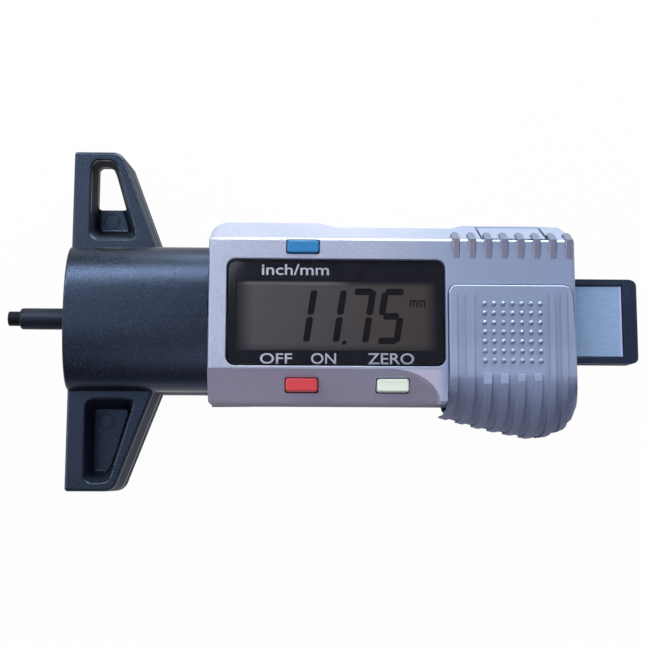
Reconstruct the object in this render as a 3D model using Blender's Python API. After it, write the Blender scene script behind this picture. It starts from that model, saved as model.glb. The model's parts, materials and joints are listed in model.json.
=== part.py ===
# Digital tread depth gauge.
# The frame: +X runs from the probe to the beam's tail, +Y to the battery side, +Z out of the display.
# The back of the gauge lies on z = 0, the probe's axis is in y = 0, and x = 0 is midway along the gauge.
# Distances along the gauge, in the names below, are measured from the measuring face of the base.
import math

import bmesh
import bpy
from mathutils import Vector

MM = 0.001
GAP = 0.3 * MM
# How far a raised form's edge is sunk into the face that it grows from
SINK = 0.05 * MM
# How far a cutter reaches past the face that it opens, and how far past a slanted one
OVER = 1.0 * MM
FAR_OVER = 4.0 * MM

# What the gauge measures
READ_MAX = 25.4 * MM
READ_REST = 11.75 * MM

# The whole gauge, along X
BODY_LENGTH = 97.4 * MM
NECK_LENGTH = 26.6 * MM
TAIL_OUT = 11.9 * MM

# The stack of parts, from the top of the case down to the beam
CASE_TALL = 18.5 * MM
CASE_WALL = 1.6 * MM
BEZEL_LIP = 0.7 * MM
LCD_THICK = 1.8 * MM
ZEBRA_TALL = 1.1 * MM
BOARD_THICK = 1.0 * MM
BEAM_CLEARANCE = 0.2 * MM
BEAM_THICK = 4.0 * MM
CEILING = CASE_TALL - CASE_WALL
BEZEL_TOP = CEILING - GAP
LCD_TOP = BEZEL_TOP - BEZEL_LIP - GAP
LCD_BOTTOM = LCD_TOP - LCD_THICK
BOARD_TOP = LCD_BOTTOM - ZEBRA_TALL - 2 * GAP
BOARD_BOTTOM = BOARD_TOP - BOARD_THICK
CHANNEL_TOP = BOARD_BOTTOM - GAP
BEAM_TOP = CHANNEL_TOP - BEAM_CLEARANCE
BEAM_BOTTOM = BEAM_TOP - BEAM_THICK
AXIS_Z = BEAM_BOTTOM + BEAM_THICK / 2

# Base: wings
WING_SPAN = 65.6 * MM
WING_TALL = 10.0 * MM
WING_TIP_LENGTH = 8.3 * MM
WING_ROOT_LENGTH = 15.8 * MM
WING_CORNER = 3.5 * MM
WING_FRONT_CORNER = 0.6 * MM
WING_DRAFT = 0.8 * MM
WING_RIM = 3.1 * MM
WING_TIP_RIM = 1.705 * MM
POCKET_FLOOR = 2.5 * MM
POCKET_DRAFT = 0.9 * MM
POCKET_CORNER = 1.6 * MM
POCKET_ROOT = 1.4 * MM
POCKET_TIP = 2.1 * MM
EYELET_LENGTH = 9.8 * MM
EYELET_CORNERS = [0.3 * MM, 0.8 * MM, 1.1 * MM, 1.1 * MM]

# Base: neck and channel
NECK_WIDTH = 28.0 * MM
NECK_DROP = 1.5 * MM
NECK_SHOULDER = 8.0 * MM
NECK_SQUARENESS = 2.6
NOSE_WALL = 3.0 * MM
CHANNEL_WALL = 1.8 * MM
CHANNEL_FLOOR = 2.0 * MM
CORE_WIDTH = 18.0 * MM
CORE_TALL = 2.4 * MM
CORE_ROOF = 2.4 * MM
HOLLOW_FRONT = 3.0 * MM
HOLLOW_REAR = 2.0 * MM
HOLLOW_RIB = 2.0 * MM
HOLLOW_SIDE = 1.0 * MM

# Beam and probe
BEAM_WIDTH = 16.4 * MM
TAIL_CHAMFER = 1.2 * MM
LABEL_WIDTH = 14.0 * MM
LABEL_THICK = 0.15 * MM
LABEL_SINK = 0.15 * MM
LABEL_END_RIM = 2.95 * MM
LABEL_FRONT_RIM = 2.0 * MM
STRIP_THICK = 0.5 * MM
STRIP_GAP = 0.2 * MM
STOP_WIDTH = 3.0 * MM
STOP_TALL = 1.2 * MM
STOP_PLACE = 60.0 * MM
ROD_RADIUS = 2.05 * MM
ROD_FRONT_RADIUS = 1.5 * MM
ROD_CONE = 0.6 * MM
ROD_STEM_RADIUS = 1.1 * MM
ROD_STEM_LENGTH = 8.0 * MM
TIP_RADIUS = 1.4 * MM
TIP_LENGTH = 2.0 * MM
TIP_CHAMFER = 0.15 * MM
TIP_STEM_RADIUS = 0.7 * MM
TIP_STEM_LENGTH = 4.0 * MM
SPRING_THICK = 0.25 * MM
SPRING_TALL = 2.6 * MM
SPRING_LENGTH = 15.0 * MM
SPRING_BOW = 0.75 * MM
SPRING_FROM_FRONT = 14.7 * MM
SPRING_FROM_REAR = 14.4 * MM

# Case
CASE_FRONT_DRAFT = 0.4 * MM
CASE_LOW = -16.3 * MM
CASE_REAR_DRAFT = 2.1 * MM
REAR_DRAFT_LENGTH = 7.4 * MM
UPPER_CREASE = 14.2 * MM
UPPER_DROP = 9.5 * MM
LOWER_CREASE = -10.1 * MM
LOWER_DROP = 5.0 * MM
CORNER_ROUND = 1.0 * MM
PLATE_THICK = 1.8 * MM
# Plan of the case's upper edge: distance behind the case's front and y, then distance before its rear and y
UPPER_EDGE_FRONT = [
    (0.0 * MM, 16.9 * MM),
    (1.1 * MM, 18.6 * MM),
    (2.6 * MM, 19.2 * MM),
    (20.6 * MM, 19.2 * MM),
    (24.1 * MM, 18.3 * MM),
]
UPPER_EDGE_REAR = [
    (24.0 * MM, 18.3 * MM),
    (21.6 * MM, 18.85 * MM),
    (6.2 * MM, 18.85 * MM),
    (2.8 * MM, 18.7 * MM),
    (0.0 * MM, 16.6 * MM),
]

# Grip: the raised, rounded pad at the lower right of the case
GRIP_LENGTH = 25.8 * MM
GRIP_TOP_EDGE = 5.65 * MM
GRIP_RAISE = 0.4 * MM
GRIP_STEP = 0.4 * MM
GRIP_ROUND_START = -11.0 * MM
GRIP_ROUND_DROP = 10.5 * MM
# Plan of the grip's lower edge without its ribs: distance before the case's rear, and y
GRIP_EDGE_REAR = [
    (25.8 * MM, -18.0 * MM),
    (17.4 * MM, -20.3 * MM),
    (8.8 * MM, -22.3 * MM),
    (6.2 * MM, -22.2 * MM),
    (2.8 * MM, -20.6 * MM),
    (1.0 * MM, -18.8 * MM),
    (0.0 * MM, -16.5 * MM),
]
SLANT_ARC_LENGTH = 9.9 * MM
SLANT_TO_GRIP = 1.7 * MM
RIB_COUNT = 8
GRIP_RIB_MARGIN = 0.1 * MM
GRIP_RIB_PITCH = 3.1 * MM
GRIP_RIB_WIDTH = 1.5 * MM
GRIP_RIB_RAISE = 0.45 * MM
LONG_RIB_START = 4.0 * MM
SHORT_RIB_START = -11.1 * MM
SHORT_RIBS = range(2, 6)
TOP_RIBS_LENGTH = 25.0 * MM
TOP_RIB_PITCH = 3.03 * MM
TOP_RIB_WIDTH = 1.45 * MM
TOP_RIB_START = 10.4 * MM
TOP_RIB_END = 16.1 * MM
TOP_RIB_RAISE = 0.5 * MM

# Window, display and what holds it
WINDOW_FROM_FRONT = 3.1 * MM
WINDOW_TO_GRIP = 0.5 * MM
WINDOW_Y = (-9.6 * MM, 10.35 * MM)
WINDOW_CORNER = 1.7 * MM
LENS_THICK = 1.0 * MM
# Widths of the window's black border: front, rear, lower and upper
BORDER = (1.7 * MM, 1.35 * MM, 3.0 * MM, 3.7 * MM)
LCD_MARGIN_X = 0.4 * MM
LCD_MARGIN_Y = 1.3 * MM
BEZEL_WALL = 1.1 * MM
ZEBRA_WIDTH = 1.4 * MM
ZEBRA_INSET = 1.2 * MM
BOARD_Y = (-13.3 * MM, 14.2 * MM)
BOARD_CLEARANCE = 0.4 * MM
CHIP_SIDE = 9.0 * MM
CHIP_TALL = 1.0 * MM
# Places along the window, as shares of its length
CHIP_SHARE = 0.4816
UNIT_KEY_SHARE = 0.3477
POWER_KEY_SHARE = 0.3452
ZERO_KEY_SHARE = 0.7604

# Keys
KEY_HOLE = (6.3 * MM, 2.8 * MM)
KEY_CLEARANCE = 0.2 * MM
KEY_TRAVEL = 0.5 * MM
KEY_LIP = 0.9 * MM
KEY_LIP_TALL = 0.5 * MM
KEY_ROUND = 0.25 * MM
UNIT_KEY_Y = 12.6 * MM
LOWER_KEY_Y = -13.05 * MM
UNIT_KEY_PROUD = 0.4 * MM
LOWER_KEY_SUNK = 0.9 * MM
SWITCH_SIDE = 4.0 * MM
SWITCH_DEPTH = 2.6 * MM
SWITCH_TALL = 0.9 * MM
SWITCH_SHIFT = 0.8 * MM
SWITCH_CHAMFER = 0.6 * MM

# Battery
CELL_RADIUS = 5.8 * MM
CELL_THICK = 5.4 * MM
CELL_CAP_RADIUS = 4.6 * MM
CELL_CAP_TALL = 0.35 * MM
CELL_CHAMFER = 0.3 * MM
CELL_FROM_REAR = 13.2 * MM
CELL_Y = 7.3 * MM
CELL_TO_BOARD = 1.1 * MM
CONTACT_THICK = 0.3 * MM
CONTACT_WIDTH = 5.0 * MM
CONTACT_FOOT = 2.6 * MM
DOOR_FROM_REAR = (19.4 * MM, 6.9 * MM)
DOOR_SEAM = 0.1 * MM
DOOR_DROP = 8.5 * MM
DOOR_WALL = 1.7 * MM
DOOR_TONGUE = 4.5 * MM
DOOR_TONGUE_THICK = 0.5 * MM

# Screws
SCREW_INSET = 2.0 * MM
# Each screw's y, and how far the top of its boss is under the top of the case: two front ones, two rear ones
SCREW_ROWS = [(-13.2 * MM, 6.1 * MM), (15.6 * MM, 7.6 * MM), (15.0 * MM, 7.0 * MM), (-17.0 * MM, 8.0 * MM)]
BOSS_RADIUS = 2.3 * MM
SCREW_RADIUS = 0.8 * MM
HEAD_RADIUS = 1.9 * MM
HEAD_THICK = 0.7 * MM
HEAD_SINK = 0.2 * MM
SCREW_TIP_DROP = 10.6 * MM

ROUND_SEGMENTS = 32
SCREW_SEGMENTS = 16
CURVE_STEPS = 10
ARCH_STEPS = 24

# Worked out from the sizes above: along the gauge
OVERALL = READ_REST + BODY_LENGTH + TAIL_OUT
FACE_X = READ_REST - OVERALL / 2
CASE_START = NECK_LENGTH + GAP + CASE_FRONT_DRAFT
GRIP_START = BODY_LENGTH - GRIP_LENGTH
SLANT_END = GRIP_START - SLANT_TO_GRIP
SLANT_ARC_START = SLANT_END - SLANT_ARC_LENGTH
REAR_DRAFT_START = BODY_LENGTH - REAR_DRAFT_LENGTH
GRIP_RIB_FIRST = GRIP_START + GRIP_RIB_MARGIN
TOP_RIB_FIRST = BODY_LENGTH - TOP_RIBS_LENGTH
DOOR_X = (BODY_LENGTH - DOOR_FROM_REAR[0], BODY_LENGTH - DOOR_FROM_REAR[1])
UPPER_EDGE = [(CASE_START + x, y) for x, y in UPPER_EDGE_FRONT]
UPPER_EDGE += [(BODY_LENGTH - x, y) for x, y in UPPER_EDGE_REAR]
GRIP_EDGE = [(BODY_LENGTH - x, y) for x, y in GRIP_EDGE_REAR]
SPRING_PLACES = (CASE_START + SPRING_FROM_FRONT, BODY_LENGTH - SPRING_FROM_REAR)
CELL_PLACE = (BODY_LENGTH - CELL_FROM_REAR, CELL_Y)
BOARD_SHOULDER = CELL_PLACE[0] - CELL_RADIUS - CELL_TO_BOARD
WINDOW_X = (CASE_START + WINDOW_FROM_FRONT, GRIP_START - WINDOW_TO_GRIP)
VIEW_X = (WINDOW_X[0] + BORDER[0], WINDOW_X[1] - BORDER[1])
VIEW_Y = (WINDOW_Y[0] + BORDER[2], WINDOW_Y[1] - BORDER[3])

# Worked out from the sizes above: heights
NECK_TALL = CASE_TALL - NECK_DROP
UPPER_KNEE = CASE_TALL - UPPER_DROP
GRIP_ROUND_END = CASE_TALL - GRIP_ROUND_DROP
UNIT_KEY_TOP = CASE_TALL + UNIT_KEY_PROUD
LOWER_KEY_TOP = CASE_TALL - LOWER_KEY_SUNK
DOOR_BOTTOM = CASE_TALL - DOOR_DROP
SCREW_TIP = CASE_TALL - SCREW_TIP_DROP

# Worked out from the sizes above: the rest
DOOR_Y = UPPER_CREASE + DOOR_SEAM
SCREW_FRONT = CASE_START + CASE_WALL + SCREW_INSET
SCREW_REAR = BODY_LENGTH - CASE_WALL - SCREW_INSET
SCREW_COLUMNS = (SCREW_FRONT, SCREW_FRONT, SCREW_REAR, SCREW_REAR)
# Each screw's distance from the measuring face, its y, and the height of its boss
SCREW_PLACES = [(x, y, CASE_TALL - drop) for x, (y, drop) in zip(SCREW_COLUMNS, SCREW_ROWS)]
TRAVEL_OUT = READ_MAX - READ_REST
TRAVEL_BACK = READ_REST
BEAM_START = NOSE_WALL + TRAVEL_OUT + GAP
BEAM_END = BODY_LENGTH + TAIL_OUT
LABEL_START = BEAM_START + ROD_STEM_LENGTH + LABEL_FRONT_RIM
CHANNEL_HALF = BEAM_WIDTH / 2 + GAP
CHANNEL_OUTER = CHANNEL_HALF + CHANNEL_WALL
CHANNEL_LOW = PLATE_THICK + GAP
SKIRT = PLATE_THICK + GAP
PAD_TOP = CASE_TALL + GRIP_RAISE
SLANT_RATE = LOWER_DROP / (LOWER_CREASE - CASE_LOW)
HOLE_RADIUS = SCREW_RADIUS + GAP
REAR_LEAN = CASE_REAR_DRAFT * (CHANNEL_TOP - GRIP_ROUND_END) / (CASE_TALL - GRIP_ROUND_END)
CHANNEL_END = BODY_LENGTH - CASE_WALL - REAR_LEAN - GAP
CELL_TOP = BOARD_BOTTOM + CELL_THICK


def empty_scene():
    for obj in list(bpy.data.objects):
        bpy.data.objects.remove(obj, do_unlink=True)


def finish(name, color, roughness, metallic=0.0, alpha=1.0):
    material = bpy.data.materials.new(name)
    material.use_nodes = True
    shader = material.node_tree.nodes["Principled BSDF"]
    shader.inputs["Base Color"].default_value = (*color, 1.0)
    shader.inputs["Roughness"].default_value = roughness
    shader.inputs["Metallic"].default_value = metallic
    shader.inputs["Alpha"].default_value = alpha
    return material


def from_face(distance):
    """World x of a distance measured from the measuring face."""
    return FACE_X + distance


def add_loft(bm, rings):
    """Skin rings of equal length into one closed body, with flat ends."""
    loops = [[bm.verts.new(point) for point in ring] for ring in rings]
    count = len(rings[0])
    for near, far in zip(loops, loops[1:]):
        for i in range(count):
            j = (i + 1) % count
            bm.faces.new((near[i], near[j], far[j], far[i]))
    bm.faces.new(reversed(loops[0]))
    bm.faces.new(loops[-1])


def ring_x(distance, outline):
    return [Vector((from_face(distance), y, z)) for y, z in outline]


def ring_z(height, outline):
    return [Vector((from_face(x), y, height)) for x, y in outline]


def add_prism_x(bm, start, end, outline):
    add_loft(bm, [ring_x(start, outline), ring_x(end, outline)])


def add_prism_z(bm, low, high, outline):
    add_loft(bm, [ring_z(low, outline), ring_z(high, outline)])


def rectangle(low_a, high_a, low_b, high_b):
    return [(low_a, low_b), (high_a, low_b), (high_a, high_b), (low_a, high_b)]


def add_box(bm, span_x, span_y, span_z):
    add_prism_z(bm, *span_z, rectangle(*span_x, *span_y))


def round_corners(outline, radius, steps=5):
    """Replace each convex corner of an outline by an arc-like curve that starts radius away from it."""
    rounded = []
    for i, corner in enumerate(outline):
        here = Vector(corner)
        before = Vector(outline[i - 1])
        after = Vector(outline[(i + 1) % len(outline)])
        reach = radius[i] if isinstance(radius, (list, tuple)) else radius
        if reach <= 0:
            rounded.append(tuple(here))
            continue
        start = here + (before - here).normalized() * reach
        end = here + (after - here).normalized() * reach
        for k in range(steps + 1):
            t = k / steps
            point = start * (1 - t) ** 2 + here * 2 * t * (1 - t) + end * t ** 2
            rounded.append(tuple(point))
    return rounded


def circle(center, radius, segments=ROUND_SEGMENTS):
    turns = [2 * math.pi * k / segments for k in range(segments)]
    return [(center[0] + radius * math.cos(a), center[1] + radius * math.sin(a)) for a in turns]


def add_turned_x(bm, steps):
    """A round body on the probe's axis. steps holds (distance, radius) from its front to its rear."""
    add_loft(bm, [ring_x(distance, circle((0.0, AXIS_Z), radius)) for distance, radius in steps])


def add_turned_z(bm, place, steps):
    """An upright round body at place. steps holds (height, radius) from its bottom to its top."""
    add_loft(bm, [ring_z(height, circle(place, radius)) for height, radius in steps])


def make(name, build, material=None, origin=None):
    """Build a mesh object. build fills a bmesh in world coordinates, and origin is the object's location."""
    bm = bmesh.new()
    build(bm)
    bmesh.ops.triangulate(bm, faces=bm.faces)
    bmesh.ops.recalc_face_normals(bm, faces=bm.faces)
    place = Vector(origin) if origin else Vector((0.0, 0.0, 0.0))
    bmesh.ops.translate(bm, vec=-place, verts=bm.verts)
    mesh = bpy.data.meshes.new(name)
    bm.to_mesh(mesh)
    bm.free()
    obj = bpy.data.objects.new(name, mesh)
    obj.location = place
    bpy.context.scene.collection.objects.link(obj)
    if material:
        mesh.materials.append(material)
    return obj


def combine(target, operation, name, build, solver):
    """Add or take away a guide body with a Boolean modifier."""
    guide = make(name, build)
    guide.hide_render = True
    guide.display_type = "WIRE"
    modifier = target.modifiers.new(name, "BOOLEAN")
    modifier.operation = operation
    modifier.solver = solver
    modifier.object = guide


def cut(target, name, build, solver="EXACT"):
    combine(target, "DIFFERENCE", name, build, solver)


def join(target, name, build, solver="EXACT"):
    combine(target, "UNION", name, build, solver)


def shade_round(obj, angle=35):
    obj.data.shade_smooth()
    obj.data.set_sharp_from_angle(angle=math.radians(angle))


def hang_from(parent, children):
    """Parent pieces to an empty on their joint's axis, and leave them where they are."""
    for child in children:
        child.parent = parent
        child.location = child.location - parent.location


def read_edge(edge, distance):
    """The y of a plan edge at a distance from the measuring face."""
    if distance <= edge[0][0]:
        return edge[0][1]
    for (x0, y0), (x1, y1) in zip(edge, edge[1:]):
        if distance <= x1:
            return y0 + (y1 - y0) * (distance - x0) / (x1 - x0)
    return edge[-1][1]


# Base

def wing_outline(side, draft):
    """Plan of one wing, from inside the neck to its tip. side is 1 or -1."""
    root = NECK_WIDTH / 2
    tip = WING_SPAN / 2
    rate = (WING_ROOT_LENGTH - WING_TIP_LENGTH) / (tip - root)
    inside = root / 2
    outline = [
        (0.0, side * inside),
        (0.0, side * tip),
        (WING_TIP_LENGTH + draft, side * tip),
        (WING_ROOT_LENGTH + draft + rate * (root - inside), side * inside),
    ]
    return round_corners(outline, [0.0, WING_FRONT_CORNER, WING_CORNER, 0.0])


def slanted_edge(y):
    """Distance of the wing's slanted rear edge at the top face."""
    tip = WING_SPAN / 2
    root = NECK_WIDTH / 2
    return WING_TIP_LENGTH + (WING_ROOT_LENGTH - WING_TIP_LENGTH) * (tip - abs(y)) / (tip - root)


def pocket_outline(side, inset):
    """Plan of a wing's pocket, inset from its rim."""
    root = NECK_WIDTH / 2 + POCKET_ROOT + inset
    tip = WING_SPAN / 2 - POCKET_TIP - inset
    front = WING_RIM + inset
    outline = [
        (front, side * root),
        (slanted_edge(root) - WING_RIM - inset, side * root),
        (slanted_edge(tip) - WING_TIP_RIM - inset, side * tip),
        (front, side * tip),
    ]
    return round_corners(outline, POCKET_CORNER - inset / 2)


def eyelet_outline():
    """Plan of the hole that goes right through the upper wing."""
    tip = WING_SPAN / 2 - POCKET_TIP - POCKET_DRAFT
    root = WING_SPAN / 2 - EYELET_LENGTH
    front = WING_RIM + POCKET_DRAFT
    outline = [
        (front, root),
        (slanted_edge(root) - WING_RIM - POCKET_DRAFT, root),
        (slanted_edge(tip) - WING_TIP_RIM - POCKET_DRAFT, tip),
        (front, tip),
    ]
    return round_corners(outline, EYELET_CORNERS)


def neck_outline():
    """Section of the neck: straight sides and an arch over them, squarer than a half circle."""
    half = NECK_WIDTH / 2
    power = 2 / NECK_SQUARENESS
    arch = []
    for k in range(ARCH_STEPS + 1):
        angle = math.pi * k / ARCH_STEPS
        y = math.copysign(abs(math.cos(angle)) ** power, math.cos(angle)) * half
        z = NECK_TALL - NECK_SHOULDER * (1 - math.sin(angle) ** power)
        arch.append((y, z))
    return [(-half, 0.0), (half, 0.0)] + arch


def build_wings(bm):
    for side in (1, -1):
        low = ring_z(0.0, wing_outline(side, WING_DRAFT))
        high = ring_z(WING_TALL, wing_outline(side, 0.0))
        add_loft(bm, [low, high])


def build_pockets(bm):
    for side in (1, -1):
        low = ring_z(POCKET_FLOOR, pocket_outline(side, POCKET_DRAFT))
        high = ring_z(WING_TALL, pocket_outline(side, 0.0))
        above = ring_z(WING_TALL + OVER, pocket_outline(side, 0.0))
        add_loft(bm, [low, high, above])


def build_channel(bm):
    outline = rectangle(-CHANNEL_OUTER, CHANNEL_OUTER, CHANNEL_LOW, CHANNEL_TOP)
    add_prism_x(bm, NECK_LENGTH - OVER, CHANNEL_END, outline)


def build_tunnel(bm):
    """The beam's way: closed in the neck, open at the top inside the case."""
    low = BEAM_BOTTOM - GAP
    neck_way = rectangle(-CHANNEL_HALF, CHANNEL_HALF, low, CHANNEL_TOP)
    case_way = rectangle(-CHANNEL_HALF, CHANNEL_HALF, low, CHANNEL_TOP + OVER)
    rings = [
        ring_x(NOSE_WALL, neck_way),
        ring_x(NECK_LENGTH, neck_way),
        ring_x(NECK_LENGTH + SINK, case_way),
        ring_x(CHANNEL_END + OVER, case_way),
    ]
    add_loft(bm, rings)


def build_core(bm):
    low = NECK_TALL - CORE_ROOF - CORE_TALL
    half = CORE_WIDTH / 2
    add_box(bm, (NOSE_WALL, NECK_LENGTH + OVER), (-half, half), (low, low + CORE_TALL))


def build_under_pockets(bm):
    """Hollows under the channel's floor, which keep its wall even."""
    top = BEAM_BOTTOM - GAP - CHANNEL_FLOOR
    half = CHANNEL_HALF - HOLLOW_SIDE
    middle = (CASE_START + CHANNEL_END) / 2
    start = CASE_START + HOLLOW_FRONT
    end = CHANNEL_END - HOLLOW_REAR
    for span in ((start, middle - HOLLOW_RIB / 2), (middle + HOLLOW_RIB / 2, end)):
        add_box(bm, span, (-half, half), (CHANNEL_LOW - OVER, top))


def build_stop_slot(bm):
    """The slot that the beam's stop runs in."""
    reach = STOP_WIDTH / 2 + GAP
    span = (STOP_PLACE - TRAVEL_OUT - reach, STOP_PLACE + TRAVEL_BACK + reach)
    low = BEAM_BOTTOM - STOP_TALL - GAP
    add_box(bm, span, (-reach, reach), (low, BEAM_BOTTOM))


def build_spring_pockets(bm):
    span_y = (-CHANNEL_HALF - SPRING_BOW - SPRING_THICK - GAP, SINK - CHANNEL_HALF)
    span_z = (AXIS_Z - SPRING_TALL / 2 - GAP, CHANNEL_TOP + OVER)
    half = SPRING_LENGTH / 2 + GAP
    for place in SPRING_PLACES:
        add_box(bm, (place - half, place + half), span_y, span_z)


def make_base(plastic):
    def build_neck(bm):
        add_prism_x(bm, 0.0, NECK_LENGTH, neck_outline())

    def build_bore(bm):
        add_turned_x(bm, [(-OVER, ROD_RADIUS + GAP), (NOSE_WALL + OVER, ROD_RADIUS + GAP)])

    def build_eyelet(bm):
        add_prism_z(bm, -OVER, POCKET_FLOOR + OVER, eyelet_outline())

    base = make("base_foot", build_neck, plastic)
    join(base, "guide_wings", build_wings)
    join(base, "guide_channel", build_channel)
    cut(base, "guide_tunnel", build_tunnel)
    cut(base, "guide_bore", build_bore)
    cut(base, "guide_core", build_core)
    cut(base, "guide_pockets", build_pockets)
    cut(base, "guide_eyelet", build_eyelet)
    cut(base, "guide_under_pockets", build_under_pockets)
    cut(base, "guide_stop_slot", build_stop_slot)
    cut(base, "guide_spring_pockets", build_spring_pockets)
    shade_round(base)


# Case

def corner_curve(y_low, z_low, y_high, z_high, squareness):
    """Points from a side wall, over its rounded or slanted corner, to the top face."""
    points = []
    for k in range(CURVE_STEPS + 1):
        angle = math.pi / 2 * k / CURVE_STEPS
        y = y_high - (y_high - y_low) * math.cos(angle) ** (2 / squareness)
        z = z_low + (z_high - z_low) * math.sin(angle) ** (2 / squareness)
        points.append((y, z))
    return points


def upper_slope(distance):
    """How fast the upper slope falls, in height per width."""
    return (CASE_TALL - UPPER_KNEE) / (read_edge(UPPER_EDGE, distance) - UPPER_CREASE)


def upper_slope_z(distance, y):
    return CASE_TALL - upper_slope(distance) * (y - UPPER_CREASE)


def skin_section(distance, on_grip):
    """Outside of the case, as (y, z) from its lower skirt over the top to its upper skirt."""
    if on_grip:
        low = read_edge(GRIP_EDGE, distance)
        curve = corner_curve(low, GRIP_ROUND_END, GRIP_ROUND_START, PAD_TOP, 2)
        pad = PAD_TOP
    else:
        low = CASE_LOW
        curve = corner_curve(low, CASE_TALL - CORNER_ROUND, low + CORNER_ROUND, CASE_TALL, 2)
        pad = CASE_TALL
    high = read_edge(UPPER_EDGE, distance)
    top = [(GRIP_TOP_EDGE - GRIP_STEP, pad), (GRIP_TOP_EDGE, CASE_TALL), (UPPER_CREASE, CASE_TALL)]
    return [(low, SKIRT)] + curve + top + [(high, UPPER_KNEE), (high, SKIRT)]


def hollow_section(distance, on_grip):
    """Inside of the case, a wall's thickness within its skin and open at the bottom."""
    if on_grip:
        low = read_edge(GRIP_EDGE, distance) + CASE_WALL
        curve = corner_curve(low, GRIP_ROUND_END, GRIP_ROUND_START, CEILING, 2)
    else:
        low = CASE_LOW + CASE_WALL
        sink = CASE_WALL * math.hypot(1, SLANT_RATE)
        knee = CASE_TALL - sink + SLANT_RATE * (low - LOWER_CREASE)
        high = LOWER_CREASE + (CEILING - CASE_TALL + sink) / SLANT_RATE
        curve = corner_curve(low, knee, high, CEILING, 1)
    rate = upper_slope(distance)
    sink = CASE_WALL * math.hypot(1, rate)
    crease = UPPER_CREASE + (CASE_WALL - sink) / rate
    side = read_edge(UPPER_EDGE, distance) - CASE_WALL
    side_top = CASE_TALL - sink - rate * (side - UPPER_CREASE)
    bottom = SKIRT - OVER
    return [(low, bottom)] + curve + [(crease, CEILING), (side, side_top), (side, bottom)]


def lean(distance, z):
    """Lean of the case's end walls, which draw in towards the top."""
    height = max(0.0, (z - GRIP_ROUND_END) / (CASE_TALL - GRIP_ROUND_END))
    rear = max(0.0, (distance - REAR_DRAFT_START) / (BODY_LENGTH - REAR_DRAFT_START))
    front = max(0.0, 1 - (distance - CASE_START) / CASE_WALL)
    return front * CASE_FRONT_DRAFT * (min(height, 1.0) - 1) - rear * CASE_REAR_DRAFT * min(height, 1.0)


def case_ring(distance, section):
    return [Vector((from_face(distance + lean(distance, z)), y, z)) for y, z in section]


def case_stations():
    before = [x for x, _ in UPPER_EDGE if x < GRIP_START - GRIP_STEP]
    after = sorted({x for x, _ in UPPER_EDGE + GRIP_EDGE if x > GRIP_START})
    return before, after


def build_skin(bm):
    before, after = case_stations()
    plain = before + [GRIP_START - GRIP_STEP]
    rings = [case_ring(x, skin_section(x, False)) for x in plain]
    rings += [case_ring(x, skin_section(x, True)) for x in [GRIP_START] + after]
    add_loft(bm, rings)


def build_hollow(bm):
    before, after = case_stations()
    first = CASE_START + CASE_WALL
    last = BODY_LENGTH - CASE_WALL
    plain = [first] + [x for x in before if x > first + GAP] + [GRIP_START - GRIP_STEP]
    grip = [GRIP_START + CASE_WALL] + [x for x in after if GRIP_START + 2 * CASE_WALL < x < last] + [last]
    rings = [case_ring(x, hollow_section(x, False)) for x in plain]
    rings += [case_ring(x, hollow_section(x, True)) for x in grip]
    add_loft(bm, rings)


def build_slant(bm):
    """What is cut away along the lower edge: a slanted face that ends in an arc."""
    front = CASE_START - CASE_WALL
    outside = CASE_LOW - CASE_WALL
    edge = [(front, LOWER_CREASE), (SLANT_ARC_START, LOWER_CREASE)]
    reach = SLANT_END - SLANT_ARC_START
    drop = LOWER_CREASE - CASE_LOW
    for k in range(1, CURVE_STEPS + 1):
        angle = math.pi / 2 * k / CURVE_STEPS
        edge.append((SLANT_ARC_START + reach * math.sin(angle), LOWER_CREASE - drop * (1 - math.cos(angle))))
    outline = edge + [(SLANT_END, outside), (front, outside)]
    crease_z = CASE_TALL - SINK
    low = [Vector((from_face(x), y, crease_z + SLANT_RATE * (y - LOWER_CREASE))) for x, y in outline]
    add_loft(bm, [low, ring_z(CASE_TALL + FAR_OVER, outline)])


def build_grip_ribs(bm):
    for i in range(RIB_COUNT):
        start = GRIP_RIB_FIRST + i * GRIP_RIB_PITCH
        top_end = SHORT_RIB_START if i in SHORT_RIBS else LONG_RIB_START
        rings = []
        for x in (start, start + GRIP_RIB_WIDTH):
            edge = read_edge(GRIP_EDGE, x)
            over = GRIP_RIB_RAISE
            under = CASE_WALL / 2
            outer = corner_curve(edge - over, GRIP_ROUND_END, GRIP_ROUND_START, PAD_TOP + over, 2)
            inner = corner_curve(edge + under, GRIP_ROUND_END, GRIP_ROUND_START, PAD_TOP - under, 2)
            foot = SKIRT + over
            front = [(top_end - over, PAD_TOP + over), (top_end, PAD_TOP - SINK)]
            outer = [(edge - over, foot)] + outer[:-1] + front
            inner = [(edge + under, foot)] + inner[:-1] + [(top_end, PAD_TOP - under)]
            rings.append(case_ring(x, outer + inner[::-1]))
        add_loft(bm, rings)


def top_rib_outline(distance, low_y):
    """Side view of one short rib on the upper crease, from low_y outwards."""
    crest = CASE_TALL + TOP_RIB_RAISE
    end_z = upper_slope_z(distance, TOP_RIB_END) - SINK
    root = CASE_WALL / 2
    if low_y < UPPER_CREASE:
        front = [(low_y, CASE_TALL - SINK), (UPPER_CREASE, crest)]
    else:
        share = (low_y - UPPER_CREASE) / (TOP_RIB_END - UPPER_CREASE)
        front = [(low_y, crest + (end_z - crest) * share)]
    under = (TOP_RIB_END - root, upper_slope_z(distance, TOP_RIB_END - root) - 2 * root)
    foot = (low_y, min(CASE_TALL, upper_slope_z(distance, low_y)) - root)
    return [foot] + front + [(TOP_RIB_END, end_z), under]


def top_rib_start(i):
    return TOP_RIB_FIRST + i * TOP_RIB_PITCH


def on_door(i):
    start = top_rib_start(i)
    return DOOR_X[0] < start and start + TOP_RIB_WIDTH < DOOR_X[1]


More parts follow.
